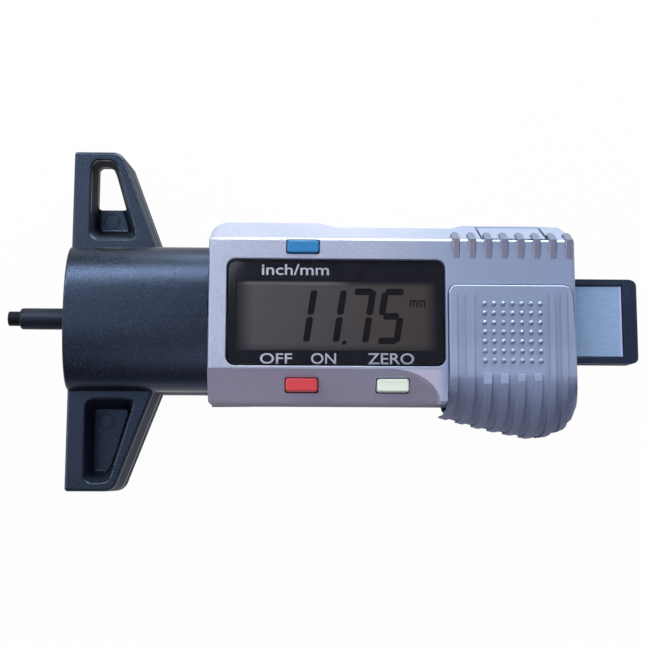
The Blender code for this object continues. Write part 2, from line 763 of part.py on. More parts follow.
def build_top_ribs(bm):
    for i in range(RIB_COUNT):
        start = top_rib_start(i)
        end = start + TOP_RIB_WIDTH
        outline = top_rib_outline(start, TOP_RIB_START)
        places = [x + lean(x, CASE_TALL) for x in (start, end)]
        add_loft(bm, [ring_x(place, outline) for place in places])


def build_bosses(bm):
    for x, y, top in SCREW_PLACES:
        add_turned_z(bm, (x, y), [(SKIRT + GAP, BOSS_RADIUS), (top, BOSS_RADIUS)])


def build_boss_holes(bm):
    steps = [(SKIRT - OVER, HOLE_RADIUS), (SCREW_TIP + GAP, HOLE_RADIUS)]
    for x, y, _ in SCREW_PLACES:
        add_turned_z(bm, (x, y), steps)


def along_window(share):
    return WINDOW_X[0] + share * (WINDOW_X[1] - WINDOW_X[0])


def key_places():
    """Each key's word, its distance from the measuring face and y, its top, and the side of its lip in y."""
    return [
        ("unit", (along_window(UNIT_KEY_SHARE), UNIT_KEY_Y), UNIT_KEY_TOP, -1),
        ("power", (along_window(POWER_KEY_SHARE), LOWER_KEY_Y), LOWER_KEY_TOP, 1),
        ("zero", (along_window(ZERO_KEY_SHARE), LOWER_KEY_Y), LOWER_KEY_TOP, 1),
    ]


def key_hole(place, clearance=0.0):
    half_x = KEY_HOLE[0] / 2 - clearance
    half_y = KEY_HOLE[1] / 2 - clearance
    return (place[0] - half_x, place[0] + half_x), (place[1] - half_y, place[1] + half_y)


def build_case_openings(bm):
    over = CASE_TALL + FAR_OVER
    window = round_corners(rectangle(*WINDOW_X, *WINDOW_Y), WINDOW_CORNER)
    add_prism_z(bm, CEILING - OVER, over, window)
    for _, place, _, _ in key_places():
        span_x, span_y = key_hole(place)
        add_box(bm, span_x, span_y, (BOARD_TOP, over))
    add_box(bm, DOOR_X, (DOOR_Y, WING_SPAN / 2), (DOOR_BOTTOM, over))
    tail_span = (BEAM_BOTTOM - GAP, BEAM_TOP + GAP)
    add_box(bm, (CHANNEL_END - OVER, BODY_LENGTH + OVER), (-CHANNEL_HALF, CHANNEL_HALF), tail_span)
    neck_half = CHANNEL_OUTER + GAP
    neck_span = (SKIRT - OVER, CHANNEL_TOP + GAP)
    add_box(bm, (CASE_START - OVER, CASE_START + CASE_WALL + OVER), (-neck_half, neck_half), neck_span)


def contact_span():
    half = CONTACT_WIDTH / 2
    return CELL_PLACE[0] - half, CELL_PLACE[0] + half


def build_contact_room(bm):
    """A shallow pocket in the ceiling over the cell, for the upper contact."""
    low, high = contact_span()
    top = CELL_TOP + 2 * GAP + CONTACT_THICK
    back = CELL_PLACE[1] - CELL_RADIUS - 3 * GAP - CONTACT_THICK
    add_box(bm, (low - GAP, high + GAP), (back, CELL_PLACE[1] + CELL_RADIUS / 2), (CEILING - OVER, top))


def make_cover(paint):
    cover = make("front_cover", build_skin, paint)
    cut(cover, "guide_slant", build_slant)
    join(cover, "guide_grip_ribs", build_grip_ribs, "MANIFOLD")
    join(cover, "guide_top_ribs", build_top_ribs, "MANIFOLD")
    cut(cover, "guide_hollow", build_hollow, "MANIFOLD")
    join(cover, "guide_bosses", build_bosses, "MANIFOLD")
    cut(cover, "guide_boss_holes", build_boss_holes, "MANIFOLD")
    cut(cover, "guide_contact_room", build_contact_room, "MANIFOLD")
    cut(cover, "guide_case_openings", build_case_openings, "MANIFOLD")
    shade_round(cover)


def plate_outline():
    lower_left = [(CASE_START - CASE_FRONT_DRAFT, CASE_LOW), (GRIP_START - GRIP_STEP, CASE_LOW)]
    upper = [(x, y) for x, y in reversed(UPPER_EDGE) if x > CASE_START]
    upper_left = [(CASE_START - CASE_FRONT_DRAFT, UPPER_EDGE[0][1])]
    return lower_left + list(GRIP_EDGE) + upper + upper_left


def make_back(plastic):
    def build_plate(bm):
        add_prism_z(bm, 0.0, PLATE_THICK, plate_outline())

    def build_screw_holes(bm):
        seat = HEAD_SINK + HEAD_THICK + GAP
        wide = HEAD_RADIUS + GAP
        steps = [(-OVER, wide), (seat, wide), (seat, HOLE_RADIUS), (PLATE_THICK + OVER, HOLE_RADIUS)]
        for x, y, _ in SCREW_PLACES:
            add_turned_z(bm, (x, y), steps)

    back = make("back_cover", build_plate, plastic)
    cut(back, "guide_screw_holes", build_screw_holes)


def make_screws(steel):
    for i, (x, y, _) in enumerate(SCREW_PLACES):
        def build_screw(bm, place=(x, y)):
            under_head = HEAD_SINK + HEAD_THICK
            steps = [
                (HEAD_SINK, HEAD_RADIUS * 0.8),
                (HEAD_SINK + HEAD_THICK / 3, HEAD_RADIUS),
                (under_head, HEAD_RADIUS),
                (under_head, SCREW_RADIUS),
                (SCREW_TIP - SCREW_RADIUS, SCREW_RADIUS),
                (SCREW_TIP, SCREW_RADIUS / 3),
            ]
            add_loft(bm, [ring_z(z, circle(place, r, SCREW_SEGMENTS)) for z, r in steps])

        screw = make(f"case_screw_{i + 1}", build_screw, steel, (from_face(x), y, 0.0))
        shade_round(screw)


# Display and electronics

def make_lens(clear):
    def build_lens(bm):
        outline = rectangle(WINDOW_X[0] + GAP, WINDOW_X[1] - GAP, WINDOW_Y[0] + GAP, WINDOW_Y[1] - GAP)
        add_prism_z(bm, CEILING, CEILING + LENS_THICK, round_corners(outline, WINDOW_CORNER - GAP))

    make("window_lens", build_lens, clear)


def lcd_span():
    span_x = (VIEW_X[0] - LCD_MARGIN_X, VIEW_X[1] + LCD_MARGIN_X)
    span_y = (VIEW_Y[0] - LCD_MARGIN_Y, VIEW_Y[1] + LCD_MARGIN_Y)
    return span_x, span_y


def grow(span, by):
    return span[0] - by, span[1] + by


def make_display(black, glass, rubber):
    span_x, span_y = lcd_span()
    pocket_x = grow(span_x, GAP)
    pocket_y = grow(span_y, GAP)
    foot = BOARD_TOP + GAP

    def build_bezel(bm):
        add_box(bm, grow(pocket_x, BEZEL_WALL), grow(pocket_y, BEZEL_WALL), (foot, BEZEL_TOP))

    def build_pocket(bm):
        add_box(bm, pocket_x, pocket_y, (foot - OVER, LCD_TOP + GAP))

    def build_view(bm):
        add_box(bm, VIEW_X, VIEW_Y, (LCD_TOP - OVER, BEZEL_TOP + OVER))

    def build_lcd(bm):
        add_box(bm, span_x, span_y, (LCD_BOTTOM, LCD_TOP))

    bezel = make("lcd_bezel", build_bezel, black)
    cut(bezel, "guide_lcd_pocket", build_pocket)
    cut(bezel, "guide_view", build_view)
    make("lcd_panel", build_lcd, glass)
    edges = {"upper": span_y[1] - ZEBRA_WIDTH, "lower": span_y[0]}
    for word, low in edges.items():
        def build_zebra(bm, low=low):
            span_z = (foot, LCD_BOTTOM - GAP)
            add_box(bm, grow(span_x, -ZEBRA_INSET), (low, low + ZEBRA_WIDTH), span_z)

        make(f"zebra_strip_{word}", build_zebra, rubber)


def make_board(board_green, black):
    front = CASE_START + CASE_WALL + BOARD_CLEARANCE
    rear = CHANNEL_END - 2 * GAP
    shelf = CELL_PLACE[1] - CELL_RADIUS - 2 * GAP

    def build_board(bm):
        outline = [
            (front, BOARD_Y[0]),
            (rear, BOARD_Y[0]),
            (rear, shelf),
            (BOARD_SHOULDER, shelf),
            (BOARD_SHOULDER, BOARD_Y[1]),
            (front, BOARD_Y[1]),
        ]
        add_prism_z(bm, BOARD_BOTTOM, BOARD_TOP, outline)

    def build_notches(bm):
        steps = [(BOARD_BOTTOM - OVER, BOSS_RADIUS + GAP), (BOARD_TOP + OVER, BOSS_RADIUS + GAP)]
        for x, y, _ in SCREW_PLACES[:2]:
            add_turned_z(bm, (x, y), steps)

    def build_chip(bm):
        low = BOARD_TOP + GAP
        middle = along_window(CHIP_SHARE)
        high = low + CHIP_TALL
        steps = [(low, CHIP_SIDE), (low + CHIP_TALL * 0.6, CHIP_SIDE * 0.85), (high, CHIP_SIDE * 0.5)]
        rings = []
        for z, side in steps:
            half = side / 2
            square = rectangle(middle - half, middle + half, -half, half)
            rings.append(ring_z(z, round_corners(square, side / 3)))
        add_loft(bm, rings)

    board = make("circuit_board", build_board, board_green)
    cut(board, "guide_notches", build_notches)
    shade_round(make("chip_blob", build_chip, black))


def key_bottom():
    return BOARD_TOP + GAP + SWITCH_TALL + GAP + KEY_TRAVEL


def make_key(word, place, top, inward, material, switch_material):
    """One key with its lip towards the window, and the switch under it. inward is 1 or -1 in y."""
    span_x, span_y = key_hole(place, KEY_CLEARANCE)
    low = key_bottom()
    lip_edge = span_y[0] if inward < 0 else span_y[1]
    other_edge = span_y[1] if inward < 0 else span_y[0]

    def build_key(bm):
        outline = [
            (other_edge, low),
            (lip_edge + inward * KEY_LIP, low),
            (lip_edge + inward * KEY_LIP, low + KEY_LIP_TALL),
            (lip_edge, low + KEY_LIP_TALL),
            (lip_edge, top),
            (other_edge, top),
        ]
        add_prism_x(bm, *span_x, outline)

    def build_switch(bm):
        center = place[1] + inward * SWITCH_SHIFT
        foot = BOARD_TOP + GAP
        half = SWITCH_SIDE / 2
        depth = SWITCH_DEPTH / 2
        rings = []
        for z, inset in ((foot, 0.0), (foot + SWITCH_TALL * 0.6, 0.0), (foot + SWITCH_TALL, SWITCH_CHAMFER)):
            span = rectangle(place[0] - half + inset, place[0] + half - inset,
                             center - depth + inset, center + depth - inset)
            rings.append(ring_z(z, span))
        add_loft(bm, rings)

    key = make(f"button_{word}", build_key, material, (from_face(place[0]), place[1], top))
    bevel = key.modifiers.new("edge", "BEVEL")
    bevel.width = KEY_ROUND
    bevel.segments = 2
    bevel.limit_method = "ANGLE"
    make(f"switch_{word}", build_switch, switch_material)


# Battery

def make_battery(steel, brass):
    low = BOARD_BOTTOM
    high = CELL_TOP
    foot = BOARD_TOP + GAP
    near_x = CELL_PLACE[0] - CELL_RADIUS - GAP
    near_y = CELL_PLACE[1] - CELL_RADIUS - GAP

    def build_cell(bm):
        shoulder = high - CELL_CAP_TALL
        steps = [
            (low, CELL_RADIUS - CELL_CHAMFER),
            (low + CELL_CHAMFER, CELL_RADIUS),
            (shoulder, CELL_RADIUS),
            (shoulder, CELL_CAP_RADIUS),
            (high, CELL_CAP_RADIUS),
        ]
        add_turned_z(bm, CELL_PLACE, steps)

    def build_positive(bm):
        """An angle on the board whose upright leaf meets the cell's side."""
        upright = near_x - CONTACT_THICK
        outline = [
            (upright - CONTACT_FOOT, foot),
            (near_x, foot),
            (near_x, foot + CONTACT_WIDTH / 2),
            (upright, foot + CONTACT_WIDTH / 2),
            (upright, foot + CONTACT_THICK),
            (upright - CONTACT_FOOT, foot + CONTACT_THICK),
        ]
        half = CONTACT_WIDTH / 2
        rings = []
        for y in (CELL_PLACE[1] - half, CELL_PLACE[1] + half):
            rings.append([Vector((from_face(x), y, z)) for x, z in outline])
        add_loft(bm, rings)

    def build_negative(bm):
        """A leaf that stands on the board behind the cell and reaches over its cap."""
        leaf = high + GAP
        outline = [
            (near_y - CONTACT_THICK, foot),
            (near_y, foot),
            (near_y, leaf),
            (CELL_PLACE[1], leaf),
            (CELL_PLACE[1], leaf + CONTACT_THICK),
            (near_y - CONTACT_THICK, leaf + CONTACT_THICK),
        ]
        add_prism_x(bm, *contact_span(), outline)

    shade_round(make("battery_cell", build_cell, steel))
    make("battery_contact_positive", build_positive, brass)
    make("battery_contact_negative", build_negative, brass)


def make_door(paint):
    """The ribbed piece of the upper slope, with a tongue that runs in under the cell."""
    start = DOOR_X[0] + GAP
    end = DOOR_X[1] - GAP
    foot = DOOR_BOTTOM + GAP
    middle = (start + end) / 2
    rate = upper_slope(middle)
    inner_top = DOOR_Y + GAP
    outer_foot = UPPER_CREASE + (CASE_TALL - foot) / rate

    def build_door(bm):
        outline = [
            (inner_top, upper_slope_z(middle, inner_top)),
            (outer_foot, foot),
            (outer_foot - DOOR_WALL - DOOR_TONGUE, foot),
            (outer_foot - DOOR_WALL - DOOR_TONGUE, foot + DOOR_TONGUE_THICK),
            (outer_foot - DOOR_WALL, foot + DOOR_TONGUE_THICK),
            (inner_top, upper_slope_z(middle, inner_top + DOOR_WALL)),
        ]
        add_prism_x(bm, start, end, outline)

    def build_door_ribs(bm):
        for i in range(RIB_COUNT):
            if on_door(i):
                first = top_rib_start(i)
                add_prism_x(bm, first, first + TOP_RIB_WIDTH, top_rib_outline(middle, inner_top))

    door = make("battery_door", build_door, paint, (from_face(middle), outer_foot, foot))
    join(door, "guide_door_ribs", build_door_ribs)


# Beam and probe

def make_beam(plastic):
    half = BEAM_WIDTH / 2
    recess_floor = BEAM_TOP - LABEL_SINK - LABEL_THICK - 2 * STRIP_GAP - STRIP_THICK

    def build_beam(bm):
        square = rectangle(-half, half, BEAM_BOTTOM, BEAM_TOP)
        side = half - TAIL_CHAMFER / 2
        small = rectangle(-side, side, BEAM_BOTTOM + TAIL_CHAMFER / 3, BEAM_TOP - TAIL_CHAMFER / 2)
        stations = [(BEAM_START, square), (BEAM_END - TAIL_CHAMFER, square), (BEAM_END, small)]
        add_loft(bm, [ring_x(distance, outline) for distance, outline in stations])

    def build_recess(bm):
        side = LABEL_WIDTH / 2
        span_x = (LABEL_START, BEAM_END - LABEL_END_RIM)
        add_box(bm, span_x, (-side, side), (recess_floor, BEAM_TOP + OVER))

    def build_stop(bm):
        side = STOP_WIDTH / 2
        span_x = (STOP_PLACE - side, STOP_PLACE + side)
        add_box(bm, span_x, (-side, side), (BEAM_BOTTOM - STOP_TALL, BEAM_BOTTOM + OVER))

    def build_socket(bm):
        radius = ROD_STEM_RADIUS + GAP
        add_turned_x(bm, [(BEAM_START - OVER, radius), (BEAM_START + ROD_STEM_LENGTH + GAP, radius)])

    beam = make("beam", build_beam, plastic)
    cut(beam, "guide_recess", build_recess)
    join(beam, "guide_stop", build_stop)
    cut(beam, "guide_socket", build_socket)
    return beam


def make_scale(strip_finish, label_finish):
    side = LABEL_WIDTH / 2 - STRIP_GAP
    span = (LABEL_START + STRIP_GAP, BEAM_END - LABEL_END_RIM - STRIP_GAP)
    label_top = BEAM_TOP - LABEL_SINK
    strip_top = label_top - LABEL_THICK - STRIP_GAP

    def build_label(bm):
        add_box(bm, span, (-side, side), (label_top - LABEL_THICK, label_top))

    def build_strip(bm):
        add_box(bm, span, (-side, side), (strip_top - STRIP_THICK, strip_top))

    return make("scale_label", build_label, label_finish), make("scale_strip", build_strip, strip_finish)


def make_probe(plastic, steel):
    tip_end = -READ_REST
    rod_front = tip_end + TIP_LENGTH + GAP
    rod_rear = BEAM_START - GAP

    def build_rod(bm):
        steps = [
            (rod_front, ROD_FRONT_RADIUS),
            (rod_front + ROD_CONE, ROD_RADIUS),
            (rod_rear, ROD_RADIUS),
            (rod_rear, ROD_STEM_RADIUS),
            (rod_rear + ROD_STEM_LENGTH, ROD_STEM_RADIUS),
        ]
        add_turned_x(bm, steps)

    def build_tip_socket(bm):
        radius = TIP_STEM_RADIUS + GAP
        add_turned_x(bm, [(rod_front - OVER, radius), (rod_front + TIP_STEM_LENGTH + GAP, radius)])

    def build_tip(bm):
        shoulder = tip_end + TIP_LENGTH
        steps = [
            (tip_end, TIP_RADIUS - TIP_CHAMFER),
            (tip_end + TIP_CHAMFER, TIP_RADIUS),
            (shoulder, TIP_RADIUS),
            (shoulder, TIP_STEM_RADIUS),
            (shoulder + TIP_STEM_LENGTH, TIP_STEM_RADIUS),
        ]
        add_turned_x(bm, steps)

    rod = make("probe_rod", build_rod, plastic)
    cut(rod, "guide_tip_socket", build_tip_socket)
    tip = make("probe_tip", build_tip, steel)
    shade_round(rod)
    shade_round(tip)
    return rod, tip


def make_slide_springs(bronze):
    """Bowed leaves in the channel's lower wall, which press on the beam's edge."""
    for word, place in zip(("front", "rear"), SPRING_PLACES):
        def build_spring(bm, place=place):
            crest = -BEAM_WIDTH / 2 - GAP
            line = []
            for k in range(CURVE_STEPS + 1):
                t = 2 * k / CURVE_STEPS - 1
                line.append((place + t * SPRING_LENGTH / 2, crest - SPRING_BOW * t * t))
            outline = line + [(x, y - SPRING_THICK) for x, y in reversed(line)]
            low = AXIS_Z - SPRING_TALL / 2
            add_prism_z(bm, low, low + SPRING_TALL, outline)

        shade_round(make(f"slide_spring_{word}", build_spring, bronze))


def build_gauge():
    make_base(FINISHES["black_plastic"])
    make_cover(FINISHES["silver_paint"])
    make_back(FINISHES["black_plastic"])
    make_screws(FINISHES["steel"])
    make_lens(FINISHES["clear"])
    make_display(FINISHES["gloss_black"], FINISHES["display"], FINISHES["rubber"])
    make_board(FINISHES["board"], FINISHES["gloss_black"])
    for (word, place, top, inward), color in zip(key_places(), ("blue", "red", "ivory")):
        make_key(word, place, top, inward, FINISHES[color], FINISHES["steel"])
    make_battery(FINISHES["steel"], FINISHES["brass"])
    make_door(FINISHES["silver_paint"])
    make_slide_springs(FINISHES["brass"])
    slider = bpy.data.objects.new("slide_axis", None)
    slider.location = (FACE_X, 0.0, AXIS_Z)
    bpy.context.scene.collection.objects.link(slider)
    moving = [make_beam(FINISHES["beam_plastic"])]
    moving += make_scale(FINISHES["board"], FINISHES["label"])
    moving += make_probe(FINISHES["beam_plastic"], FINISHES["steel"])
    hang_from(slider, moving)


empty_scene()
FINISHES = {
    "black_plastic": finish("black_plastic", (0.012, 0.014, 0.022), 0.45),
    "beam_plastic": finish("beam_plastic", (0.014, 0.017, 0.026), 0.38),
    "silver_paint": finish("silver_paint", (0.42, 0.42, 0.50), 0.42, 0.5),
    "clear": finish("clear", (0.8, 0.82, 0.85), 0.05, 0.0, 0.3),
    "gloss_black": finish("gloss_black", (0.01, 0.01, 0.012), 0.15),
    "display": finish("display", (0.16, 0.16, 0.14), 0.2),
    "rubber": finish("rubber", (0.03, 0.03, 0.03), 0.8),
    "board": finish("board", (0.02, 0.12, 0.05), 0.4),
    "steel": finish("steel", (0.55, 0.55, 0.56), 0.3, 1.0),
    "brass": finish("brass", (0.6, 0.42, 0.18), 0.35, 1.0),
    "label": finish("label", (0.22, 0.29, 0.42), 0.4, 0.3),
    "blue": finish("blue", (0.02, 0.2, 0.45), 0.35),
    "red": finish("red", (0.7, 0.03, 0.04), 0.35),
    "ivory": finish("ivory", (0.72, 0.72, 0.58), 0.35),
}
build_gauge()
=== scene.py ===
# %% [markdown]
# # A digital tread depth gauge, dressed for its picture
# The working model is already there: a base with two wings, a painted case, a beam that carries the probe,
# three keys and a battery door. This lesson dresses it. The case, the base and the keys are modelled again
# by hand with soft edges, the small inner parts keep their shape, and every part gets a finish.

# %% Load the working model
import json
import math

import bmesh
import bpy
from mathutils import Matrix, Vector

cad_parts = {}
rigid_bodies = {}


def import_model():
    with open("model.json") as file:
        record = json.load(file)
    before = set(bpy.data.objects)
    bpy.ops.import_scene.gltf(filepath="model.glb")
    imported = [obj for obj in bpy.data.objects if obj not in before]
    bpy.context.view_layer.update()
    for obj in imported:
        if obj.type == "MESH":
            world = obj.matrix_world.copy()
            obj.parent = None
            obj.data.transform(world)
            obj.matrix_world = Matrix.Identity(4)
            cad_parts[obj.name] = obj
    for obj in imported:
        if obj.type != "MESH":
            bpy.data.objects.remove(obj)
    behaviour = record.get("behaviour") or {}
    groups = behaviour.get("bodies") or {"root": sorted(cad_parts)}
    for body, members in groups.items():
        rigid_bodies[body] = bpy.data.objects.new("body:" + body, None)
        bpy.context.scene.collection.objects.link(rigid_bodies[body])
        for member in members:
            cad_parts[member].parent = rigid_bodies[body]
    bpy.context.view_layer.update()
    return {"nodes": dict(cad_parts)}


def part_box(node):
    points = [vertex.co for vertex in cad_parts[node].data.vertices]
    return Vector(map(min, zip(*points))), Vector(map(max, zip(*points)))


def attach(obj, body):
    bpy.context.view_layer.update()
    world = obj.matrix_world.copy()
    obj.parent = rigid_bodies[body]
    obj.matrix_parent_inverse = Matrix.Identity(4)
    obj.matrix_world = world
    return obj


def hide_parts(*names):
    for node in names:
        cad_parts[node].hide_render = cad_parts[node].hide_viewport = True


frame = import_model()

# %% [markdown]
# ## A bench in millimetres
# The gauge is small, and its own drawing counts millimetres from the measuring face, where the base touches
# the tyre. So each piece is modelled at that scale: x from the measuring face towards the tail, y towards
# the battery, z out of the display. When it is finished, `settle` shrinks it to metres, moves it to its
# place in the model, and lets it ride on its body. Blender's tools act on whatever is selected. `choose`
# therefore selects one piece only, and `pick` selects its faces, edges or corners by where they are.

# %% The bench
MM = 0.001
FACE_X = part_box("base_foot")[0].x


def choose(piece):
    """Select one piece and nothing else, out of edit mode."""
    if bpy.context.object and bpy.context.object.mode != "OBJECT":
        bpy.ops.object.mode_set(mode="OBJECT")
    bpy.ops.object.select_all(action="DESELECT")
    if piece:
        piece.select_set(True)
        bpy.context.view_layer.objects.active = piece


def edit(piece):
    """Enter edit mode on one piece with nothing selected."""
    choose(piece)
    bpy.ops.object.mode_set(mode="EDIT")
    bpy.ops.mesh.select_mode(type="FACE")
    bpy.ops.mesh.select_all(action="DESELECT")


def done():
    bpy.ops.object.mode_set(mode="OBJECT")


def middle(part):
    """Midpoint of a corner, an edge or a face."""
    if isinstance(part, bmesh.types.BMVert):
        return part.co.copy()
    if isinstance(part, bmesh.types.BMEdge):
        return (part.verts[0].co + part.verts[1].co) / 2
    return part.calc_center_median()


def pick(kind, test):
    """In edit mode, select the corners, edges or faces that pass a test of their midpoint and themselves."""
    bpy.ops.mesh.select_mode(type={"verts": "VERT", "edges": "EDGE", "faces": "FACE"}[kind])
    mesh = bmesh.from_edit_mesh(bpy.context.object.data)
    count = 0
    for part in getattr(mesh, kind):
        hit = bool(test(middle(part), part))
        part.select_set(hit)
        count += hit
    mesh.select_flush_mode()
    bmesh.update_edit_mesh(bpy.context.object.data)
    return count


def pick_all():
    bpy.ops.mesh.select_all(action="SELECT")


def move(*way):
    bpy.ops.transform.translate(value=way)


def shift(test, *way):
    """In edit mode, move the corners whose place passes a test."""
    pick("verts", lambda mid, vert: test(mid))
    move(*way)


def freeze(name):
    """Write the active object's place, turn and scale into its corners, and name it."""
    bpy.ops.object.transform_apply(location=True, rotation=True, scale=True)
    bpy.context.object.name = name
    return bpy.context.object


def block(name, low, high):
    """A box between two corners, in bench millimetres."""
    choose(None)
    size = [b - a for a, b in zip(low, high)]
    center = [(a + b) / 2 for a, b in zip(low, high)]
    bpy.ops.mesh.primitive_cube_add(size=1, location=center, scale=size)
    return freeze(name)


print("the measuring face is at x =", round(FACE_X * 1000, 3), "mm of the model")

# %% [markdown]
# ## From the bench to the model
# A finished piece gets smooth shading with its creases kept, and weighted normals, so that broad flat faces
# look flat and only the rounded edges bend the light. `dress` is for the inner parts, which keep the working
# model's shape.

# %% Settling a finished piece
def apply_modifier(piece, name, kind, **settings):
    choose(piece)
    modifier = piece.modifiers.new(name, kind)
    for key, value in settings.items():
        setattr(modifier, key, value)
    bpy.ops.object.modifier_apply(modifier=name)


def settle(piece, name, body, finish, stands_for=(), angle=35):
    """Smooth a finished piece, bring it to the model's place and scale, and let it ride on its body."""
    choose(piece)
    bpy.ops.object.shade_smooth_by_angle(angle=math.radians(angle))
    apply_modifier(piece, "flat_faces_stay_flat", "WEIGHTED_NORMAL", weight=100, keep_sharp=True)
    piece.scale = (MM, MM, MM)
    piece.location = (FACE_X, 0, 0)
    freeze(name)
    piece.data.name = name
    piece.data.materials.clear()
    piece.data.materials.append(finish)
    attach(piece, body)
    if stands_for:
        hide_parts(*stands_for)
    print(f"{name}: {len(piece.data.polygons)} faces, rides on {body}")


def dress(node, finish):
    """Give a part of the working model, whose shape is right, its finish."""
    part = frame["nodes"][node]
    part.data.materials.clear()
    part.data.materials.append(finish)

# %% [markdown]
# ## A small kit for finishes
# A finish is a handful of patterns that steer one shader. Patterns are sums, so a wire between nodes is
# wrapped in a class that knows how to add and multiply. `Finish.add` makes every other node: its kind, its
# settings, and what its sockets get. Every pattern reads the piece's own place in space, so grain and
# speckle keep their real size: a scale of 3000 gives cells of a third of a millimetre.

# %% The finish kit
DIRECT_RAYS = ("Is Camera Ray", "Is Glossy Ray", "Is Transmission Ray")


class Wire:
    """One output of a node. Sums on it add Math nodes."""

    def __init__(self, nodes, socket):
        self.nodes = nodes
        self.socket = socket

    def math(self, operation, first, second):
        return self.nodes.add("ShaderNodeMath", {"operation": operation}, {0: first, 1: second})

    def __add__(self, other):
        return self.math("ADD", self, other)

    __radd__ = __add__

    def __mul__(self, other):
        return self.math("MULTIPLY", self, other)

    __rmul__ = __mul__

    def __rsub__(self, other):
        return self.math("SUBTRACT", other, self)


class Nodes:
    """A node tree whose nodes are added by one method."""

    def __init__(self, tree):
        self.tree = tree

    def add(self, kind, settings=None, inputs=None, out=0):
        node = self.tree.nodes.new(kind)
        for key, value in (settings or {}).items():
            if key == "stops":
                self.set_stops(node.color_ramp.elements, value)
            else:
                setattr(node, key, value)
        for key, value in (inputs or {}).items():
            if isinstance(value, Wire):
                self.tree.links.new(value.socket, node.inputs[key])
            else:
                node.inputs[key].default_value = value
        return Wire(self, node.outputs[out])

    def set_stops(self, elements, stops):
        """Give a ramp its stops, in order, each a position and a colour."""
        while len(elements) < len(stops):
            elements.new(0.5)
        for element, (position, tint) in zip(elements, stops):
            element.position = position
            element.color = tint

    def seen_directly(self):
        """1 for the camera's rays and for what mirrors and glass show, 0 for scattered light."""
        rays = [self.add("ShaderNodeLightPath", out=name) for name in DIRECT_RAYS]
        either = rays[0].math("MAXIMUM", rays[0], rays[1])
        return either.math("MAXIMUM", either, rays[2])

    def show(self, wire, output):
        """Make a wire the surface of the tree's output node."""
        self.tree.links.new(wire.socket, self.tree.nodes[output].inputs["Surface"])


class Finish(Nodes):
    """A material with the patterns that its shader needs."""

    def __init__(self, name, **constants):
        self.material = bpy.data.materials.new(name)
        self.material.use_nodes = True
        super().__init__(self.material.node_tree)
        self.shader = self.tree.nodes["Principled BSDF"]
        for key, value in constants.items():
            self.shader.inputs[key.replace("_", " ")].default_value = value
        self.place = self.add("ShaderNodeTexCoord", out="Object")

    def feed(self, socket, wire):
        self.tree.links.new(wire.socket, self.shader.inputs[socket])

    def noise(self, scale, detail=2.0, roughness=0.5, squeeze=None):
        """Soft random values round 0.5, in cells of 1/scale metres that squeeze makes longer along an axis."""
        place = self.place
        if squeeze:
            place = self.add("ShaderNodeMapping", inputs={"Vector": place, "Scale": squeeze})
        return self.add("ShaderNodeTexNoise", inputs={"Vector": place, "Scale": scale, "Detail": detail,
                                                      "Roughness": roughness})

    def step(self, value, low, high):
        """0 below low, 1 above high, and a smooth rise between them."""
        return self.add("ShaderNodeMapRange", {"interpolation_type": "SMOOTHSTEP"},
                        {"Value": value, "From Min": low, "From Max": high})

    def blend(self, factor, first, second):
        """A colour between two colours."""
        return self.add("ShaderNodeMix", {"data_type": "RGBA"}, {0: factor, 6: first, 7: second}, out=2)

    def mottle(self, base, worn, pattern, limits, roughness, spread):
        """Let one pattern mix two colours and vary the roughness."""
        self.feed("Base Color", self.blend(self.step(pattern, *limits), base, worn))
        self.feed("Roughness", roughness + spread * pattern)

    def axis(self, letter):
        return self.add("ShaderNodeSeparateXYZ", inputs={0: self.place}, out=letter)

    def bump(self, height, strength, distance):
        """Feed the Normal with a height pattern, distance metres high."""
        inputs = {"Height": height, "Strength": strength, "Distance": distance}
        self.feed("Normal", self.add("ShaderNodeBump", inputs=inputs))


def color(red, green, blue):
    return (red, green, blue, 1.0)


def scaled(tint, red, green, blue):
    """A tint with each of its three channels multiplied."""
    return color(tint[0] * red, tint[1] * green, tint[2] * blue)


GRAIN = 3200
print("cells of the paint's grain, mm:", round(1 / GRAIN / MM, 2))

# %% [markdown]
# ## Painted case
# The case is moulded plastic with a silver-lilac paint, the kind with fine metal flakes. Close up it
# sparkles in grains of a third of a millimetre. A plain colour would look like a toy, so two noises work
# together: a fine one bumps the surface and a second one makes some grains lighter. Towards the grip the
# colour turns darker and bluer, a painted shade. The roll's lower side is matt and gets a darker painted
# shade, and so does the side wall below the slant. The slant itself is painted lighter and redder, a painted
# light. Each region is a product of smooth steps along an axis, so nothing has to be painted by hand.

# %% Silver paint
GRIP_BEGINS = (0.0690, 0.0715)
GRIP_SHADE_SPAN = (0.055, 0.080)
ROLL_SHADE_REACH = (-0.0135, -0.0035)
SIDE_WALL = (-0.0150, -0.0105)
SIDE_WALL_TOP = (0.0130, 0.0143)
SLANT_EDGE = (-0.0106, -0.0100)


